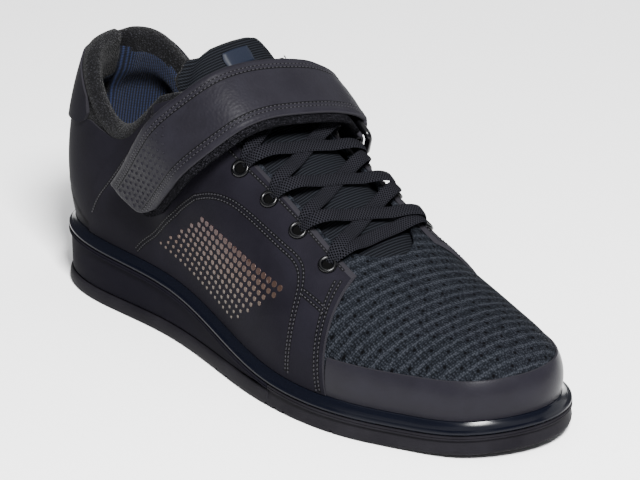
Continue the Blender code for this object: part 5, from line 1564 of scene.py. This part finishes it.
    def build(self) -> None:
        """Builds the eyelets and all the runs of lace as one piece."""
        for side in Side:
            for pair in range(self.pairs):
                self.build_eyelet(side, pair)
        runs = [self.strand((Side.LATERAL, 0), (Side.MEDIAL, 0), 0.0)]
        for pair in range(self.pairs - 1):
            lift = self.thickness * (0.35 if pair % 2 == 0 else 0.0)
            for low, high, share in ((Side.LATERAL, Side.MEDIAL, 0.2), (Side.MEDIAL, Side.LATERAL, 1.0)):
                runs.append(self.strand((low, pair), (high, pair + 1), lift + self.thickness * share))
        heap = Heap()
        for spots, faces, _ in runs:
            heap.put(spots, faces)
        Bench.piece("lace_visual", np.vstack(heap.points), heap.faces, [BRAID], Slot.LACE, ["laces"],
                    uv=np.vstack([uv for _, _, uv in runs]), smooth=60)


@dataclass
class InstepStrap:
    """Strap in two layers, the ring it turns round and the tab that holds the ring."""

    last: Last
    width: float = 0.030
    thickness: float = 0.0022
    step: float = 0.0060
    taper: float = 0.0045
    opening: float = 0.016
    wire: float = 0.0034
    ring_depth: float = 0.013
    ring_corner: float = 0.0030
    ring_tilt: float = 0.32
    anchor_width: float = 0.026
    anchor_thickness: float = 0.0016
    anchor_length: float = 0.034
    leather: float = 0.0013
    lacing: float = 0.0012 + 0.0014 * 2
    bevel: float = 0.0006
    stitch_rows: tuple[float, float] = (0.0030, 0.0048)
    stations: int = 21
    along_cells: int = 150
    across_cells: int = 30

    def clear_of(self, middle: Array, across: Array, normal: Array, half: float,
                 need: Array) -> Array:
        """Middle line moved outwards until its straight rulings clear the last."""
        push = []
        for point, ruling, least in zip(middle, across, need + np.zeros(len(middle))):
            lowest = least
            for share in np.linspace(-1.0, 1.0, 7):
                spot = Vector(point + ruling * half * share)
                near, face_normal, _, _ = self.last.tree.find_nearest(spot)
                lowest = min(lowest, (spot - near).dot(face_normal))
            push.append(least - lowest)
        taut = np.array(push)
        for _ in range(40):
            taut[1:-1] = np.maximum(push[1:-1], (taut[:-2] + taut[2:]) / 2 * 0.97)
        return middle + normal * taut[:, None]

    def middle_line(self) -> tuple[Array, ...]:
        """Middle line of the strap with its direction, rulings and outward normals."""
        last = self.last
        path = ((0.243, -0.690, 0.420), (0.296, -0.680, 0.528), (0.346, -0.640, 0.630),
                (0.385, -0.500, 0.715), (0.411, -0.290, 0.770), (0.435, -0.050, 0.797),
                (0.455, 0.200, 0.800), (0.462, 0.433, 0.780), (0.455, 0.633, 0.733))
        knots = np.array(path) * np.array([last.length, last.ankle, last.height])
        run = run_of(knots)
        at = np.linspace(0.0, run[-1], self.stations)
        middle = curve_at(at, run, knots)
        way = np.array([0.80, 0.03, -0.60])
        for _ in range(2):
            along = unit(np.gradient(middle, axis=0))
            ruling = unit(way - along * (along @ way)[:, None])
            normal = unit(np.cross(ruling, along))
            lacing = self.lacing * blend(0.20, 0.38, at / run[-1])
            need = self.leather + last.gap * 3 + self.thickness * 1.2 + lacing
            middle = self.clear_of(middle, ruling, normal, self.width / 2 + self.step, need)
        return middle, along, ruling, normal

    def band(self, middle: Array, ruling: Array, normal: Array, shifts: Array,
             width: float, thickness: float, ends: Callable | None = None, relief: Callable | None = None,
             narrow: float = 0.0) -> tuple[Sheet, Array, Array]:
        """Flat band along a middle line.

        Args:
            middle: points of the middle line.
            ruling: directions across the band.
            normal: outward directions.
            shifts: how far the band is shifted along its ruling at each point.
            width: width of the band.
            thickness: thickness of the band.
            ends: stations that the start is drawn in, from the place across and the station.
            relief: height added to the outside, from distances along and across.
            narrow: how much narrower the start is on its rear edge.
        Returns:
            The sheet, u and v of its points in metres, and the outer grid.
        """
        count = len(middle)
        lines = np.hstack([middle, ruling, normal, np.asarray(shifts)[:, None]])
        knots = np.arange(count)
        curves = [spline(knots, row) for row in lines.T]
        run = run_of(middle)
        outer, inner, uv = [], [], []
        for j in range(self.across_cells + 1):
            place = -0.5 + j / self.across_cells
            for i in range(self.along_cells + 1):
                base = i * (count - 1) / self.along_cells
                at = base + (ends(place, base) if ends is not None else 0.0)
                line = np.array([curve(at) for curve in curves])
                away, out = unit(line[3:6]), unit(line[6:9])
                drawn_in = (0.5 - place) * narrow * float(blend(9.0, 0.0, base))
                spot = line[:3] + away * (place * width + line[9] + drawn_in)
                length = float(np.interp(at, knots, run))
                lift = relief(length, place * width) if relief is not None else 0.0
                outer.append(spot + out * (thickness / 2 + lift))
                inner.append(spot - out * thickness / 2)
                uv.append((length, place * width))
        sheet = Sheet(np.array(outer), np.array(inner),
                      grid_faces(self.across_cells + 1, self.along_cells + 1), rim=4)
        return sheet, np.array(uv), np.array(outer).reshape(self.across_cells + 1, self.along_cells + 1, 3)

    def build(self) -> None:
        """Builds the strap's two layers, its seams and dots, the ring and the tab."""
        last = self.last
        middle, along, ruling, normal = self.middle_line()
        run = run_of(middle)
        closed = self.thickness / 2 + last.gap / 2
        turn = self.wire / 2 + last.gap + self.thickness / 2
        apart = closed + (turn - closed) * blend(run[-1] - self.opening, run[-1], run)
        cut = column(((-0.5, 0.0), (-0.2, 0.06), (0.15, 0.20), (0.38, 0.40), (0.5, 0.72)), 1)
        fade = np.clip(1 - run / (self.width * 1.5), 0, 1)

        def end(place: float, at: float) -> float:
            """How many stations the lateral end is drawn in."""
            share = float(np.interp(at, np.arange(len(fade)), fade)) if at < len(fade) else 0.0
            return float(cut(place)) * self.width * share / run[1]

        bend = np.linspace(0.0, math.pi, 8)[1:]
        round_normal = np.array([along[-1] * math.sin(a) + normal[-1] * math.cos(a) for a in bend])
        upper_middle = np.vstack([middle + normal * apart[:, None], middle[-1] + round_normal * turn])
        upper_normal = np.vstack([normal, round_normal])
        upper_ruling = np.vstack([ruling, np.repeat(ruling[-1:], len(bend), axis=0)])
        shifts = np.r_[np.zeros(len(middle)), self.step * bend / math.pi]
        fade = np.r_[fade, np.zeros(len(bend))]
        half = self.width / 2

        def relief(length: float, across: float) -> float:
            """Bevelled edges and the soft channels of the two stitch rows on each side."""
            side = half - abs(across)
            bevel = -self.bevel * (1 - float(blend(0.0, 0.0012, side)))
            rows = sum(math.exp(-((side - s) / 0.0005) ** 2) for s in self.stitch_rows)
            return bevel - 0.00022 * rows + 0.0003 * float(blend(0.006, 0.012, side))

        sheet, flat, top = self.band(upper_middle, upper_ruling, upper_normal, shifts, self.width,
                                     self.thickness, end, relief, self.taper)
        points, faces, kinds = sheet.solid(0.25)
        Bench.piece("strap_upper_visual", points, faces, [STRAP_LEATHER, PILE, CUT_EDGE_HIGHLIGHT], Slot.LEATHER,
                    ["strap_upper"], kinds, both_sides(flat, len(points)), smooth=50)
        self.dress_top(flat.reshape(top.shape[:2] + (2,)), top, float(run[-1]))
        lower_middle = middle - normal * apart[:, None]
        lower_middle[-1] -= along[-1] * last.gap
        sheet, _, _ = self.band(lower_middle, ruling, normal, np.full(len(middle), self.step * 0.55),
                                self.width, self.thickness, end, None, self.taper)
        points, faces, _ = sheet.solid(0.3)
        Bench.piece("strap_lower_visual", points, faces, [PILE], Slot.LOOP, ["strap_lower"], smooth=50)
        bar = middle[-1] + ruling[-1] * self.step / 2
        down = unit(np.cross(np.array([0.0, 1.0, self.ring_tilt]), ruling[-1]))
        self.build_ring(bar, ruling[-1], down)
        self.build_anchor(bar, ruling[-1], down, np.cross(ruling[-1], down))

    def dress_top(self, flat: Array, top: Array, length: float) -> None:
        """Stitch rows along both edges and the raised dots near the lateral end."""
        normals = np.cross(np.gradient(top, axis=1), np.gradient(top, axis=0))
        normals = unit(normals) * (1 if normals[15, 40, 2] > 0 else -1)
        across = flat[:, 0, 1]

        def lane(grid: Array, place: float) -> Array:
            """The grid's values along the strap at a distance from its middle."""
            return np.array([row_at(place, across, grid[:, i]) for i in range(grid.shape[1])])

        work = self.thread()
        for place in (sign * (self.width / 2 - row) for sign in (-1, 1) for row in self.stitch_rows):
            work.row(lane(top, place)[2:-12], lane(normals, place)[2:-12], 0.0)
        work.make("strap_thread")
        heap = Heap()
        lengths = flat[self.across_cells // 2, :, 0]
        columns, rows = 14, 6
        for j in range(rows):
            place = (-0.5 + (j + 0.5) / rows) * (self.width - 0.0115)
            lanes = lane(top, place), lane(normals, place)
            for i in range(columns):
                at = 0.007 + i * 0.0046 + 0.0023 * (j % 2)
                if at <= 0.066 - 0.0030 * j:
                    spot, way = (row_at(at, lengths, values) for values in lanes)
                    self._dome(heap, spot, unit(way), 0.0010 - 0.006 * at, 0.0007)
        Bench.piece("strap_dots", np.vstack(heap.points), heap.faces, [STRAP_LEATHER], Slot.LEATHER,
                    smooth=60)

    def thread(self) -> Stitching:
        """The strap's thread, a little longer and finer than the upper's."""
        return Stitching(self.last, pitch=0.0021, length=0.0015, radius=0.0003)

    @staticmethod
    def _dome(heap: Heap, spot: Array, up: Array, radius: float, height: float,
              count: int = 10) -> None:
        """Adds one small raised dot."""
        first = unit(np.cross(up, np.array([0.0, 0.3, 1.0])))
        other = np.cross(up, first)
        points = [spot + up * (height * math.sin(lat) - 0.0001)
                  + (first * math.cos(a) + other * math.sin(a)) * radius * math.cos(lat)
                  for lat in (0.0, 0.5, 1.0) for a in circle(count)]
        top = [(2 * count + k, 2 * count + (k + 1) % count, 3 * count) for k in range(count)]
        heap.put(points + [spot + up * (height - 0.0001)], tube_faces(3, count) + top)

    def build_ring(self, bar: Array, ruling: Array, down: Array) -> None:
        """Rectangular wire ring with round corners."""
        half_width = self.width / 2 + self.step / 2 + self.wire / 2 + 0.001
        half_depth = self.ring_depth / 2
        centre, out = bar + down * half_depth, np.cross(ruling, down)
        section, steps, corner = 16, 8, self.ring_corner
        points = []
        for quarter in range(4):
            middle = math.pi / 2 * quarter + math.pi / 4
            wide = math.copysign(half_width - corner, math.cos(middle))
            deep = math.copysign(half_depth - corner, math.sin(middle))
            for k in range(steps):
                angle = math.pi / 2 * (quarter + k / (steps - 1))
                way = ruling * math.cos(angle) + down * math.sin(angle)
                spot = centre + ruling * wide + down * deep + way * corner
                points += [spot + (way * math.cos(turn) + out * math.sin(turn)) * self.wire / 2
                           for turn in circle(section)]
        Bench.piece("strap_ring_visual", np.array(points), tube_faces(4 * steps, section, closed=True),
                    [ENAMEL], Slot.METAL, ["strap_ring"], smooth=60)

    def build_anchor(self, bar: Array, ruling: Array, down: Array, out: Array) -> None:
        """Tab on the medial quarter: round the ring's lower bar and down the side."""
        last = self.last
        low = bar + down * self.ring_depth
        turn = self.wire / 2 + last.gap + self.anchor_thickness / 2
        middle, normal = [], []
        for angle in np.linspace(-0.5 * math.pi, 0.5 * math.pi, 7):
            way = -down * math.cos(angle) + out * math.sin(angle)
            middle.append(low + way * turn)
            normal.append(way)
        for share in (0.12, 0.30, 0.50, 0.75, 1.0):
            spot = Vector(low + down * self.anchor_length * share + out * turn)
            near, face_normal, _, _ = last.tree.find_nearest(spot)
            spot, near, face_normal = np.array(spot), np.array(near), np.array(face_normal)
            near = near + face_normal * (self.leather + last.gap * 3 + self.anchor_thickness / 2)
            middle.append(spot + (near - spot) * float(blend(0.45, 0.98, share)))
            normal.append(unit(out * (1 - share) + face_normal * share))
        line, ways = np.array(middle), np.array(normal)
        rulings = np.repeat(ruling[None], len(line), axis=0)
        rulings = unit(rulings - ways * (rulings * ways).sum(axis=1)[:, None])
        need = self.leather + last.gap * 2 + self.anchor_thickness / 2
        line = self.clear_of(line, rulings, ways, self.anchor_width / 2, need)
        sheet, _, top = self.band(line, rulings, ways, np.zeros(len(line)), self.anchor_width,
                                  self.anchor_thickness)
        points, faces, kinds = sheet.solid(0.25)
        Bench.piece("strap_anchor_visual", points, faces, [STRAP_LEATHER, STRAP_LEATHER, CUT_EDGE_HIGHLIGHT],
                    Slot.LEATHER, ["strap_anchor"], kinds, smooth=50)
        normals = unit(np.cross(np.gradient(top, axis=1), np.gradient(top, axis=0)))
        normals *= 1 if normals[15, 120] @ ways[-1] > 0 else -1
        work = self.thread()
        first, edge, end = 80, 3, 6
        for j in (edge, self.across_cells - edge):
            work.row(top[j, first:-end], normals[j, first:-end], 0.0)
        for i in (first, self.along_cells - end):
            work.row(top[edge:-edge, i], normals[edge:-edge, i], 0.0)
        work.make("anchor_thread")


@dataclass
class Studio:
    """Pale floor, soft lights and the camera at the photograph's angle."""

    azimuth: float = 46.5
    elevation: float = 23.55
    lens: float = 188.85
    sensor: float = 36.0
    distance: float = 1.54865
    shift: tuple[float, float] = (0.02461, 0.02961)
    target: tuple[float, float, float] = (0.0, 0.0006, 0.045)
    clip: tuple[float, float] = (0.05, 30.0)
    floor_half: float = 9.0
    sky: str = "#f4f6fa"
    sky_strength: float = 0.30

    @staticmethod
    def stand(name: str, data: bpy.types.ID, place: Sequence[float] = (0, 0, 0),
              way: Vector | None = None) -> bpy.types.Object:
        """Puts something in the scene that looks along a direction."""
        made = bpy.data.objects.new(name, data)
        made.location = place
        if way is not None:
            made.rotation_euler = way.to_track_quat("-Z", "Y").to_euler()
        bpy.context.scene.collection.objects.link(made)
        return made

    def build(self) -> None:
        """Builds floor, lights, world and camera."""
        mesh, h = bpy.data.meshes.new("floor"), self.floor_half
        mesh.from_pydata([(-h, -h, 0), (h, -h, 0), (h, h, 0), (-h, h, 0)], [], [(0, 1, 2, 3)])
        # Seamless white paper: matt, with no sheen of its own.
        mesh.materials.append(Finish("studio_paper_matt", "#f7f7f7", 0.95, specular=0.1).material())
        self.stand("floor", mesh)
        world = bpy.data.worlds.new("studio")
        world.use_nodes = True
        background = world.node_tree.nodes["Background"].inputs
        background["Color"].default_value = linear(self.sky)
        background["Strength"].default_value = self.sky_strength
        bpy.context.scene.world = world
        aim = Vector((0, 0, 0.05))
        for name, place, size, power in (("key", (1.0, -0.62, 1.30), 0.40, 140.0),
                                         ("top", (0.0, 0.1, 2.2), 2.4, 28.0),
                                         ("back", (0.2, 1.4, 0.9), 1.2, 8.0)):
            light = bpy.data.lights.new(name, "AREA")
            light.size, light.energy = size, power
            self.stand(name, light, place, aim - Vector(place))
        a, e = math.radians(self.azimuth), math.radians(self.elevation)
        back = Vector((math.sin(a) * math.cos(e), -math.cos(a) * math.cos(e), math.sin(e)))
        data = bpy.data.cameras.new("camera")
        data.sensor_width, data.lens = self.sensor, self.lens
        data.shift_x, data.shift_y = self.shift
        data.clip_start, data.clip_end = self.clip
        place = Vector(self.target) + back * self.distance
        bpy.context.scene.camera = self.stand("camera", data, place, -back)


def main() -> None:
    """Builds the shoe and the studio."""
    logging.basicConfig(level=logging.INFO, format="%(message)s")
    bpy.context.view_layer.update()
    last = Last()
    SoleUnit(last).build()
    upper = UpperShell(last)
    upper.build_upper()
    for side in Side:
        upper.build_quarter(side)
    upper.build_counter()
    upper.build_toe_cap()
    upper.build_heel_tab()
    upper.build_seams()
    upper.build_foil()
    Tongue(last).build()
    Lacing(last).build()
    InstepStrap(last).build()
    Studio().build()
    bpy.context.view_layer.update()


if __name__ == "__main__":
    main()
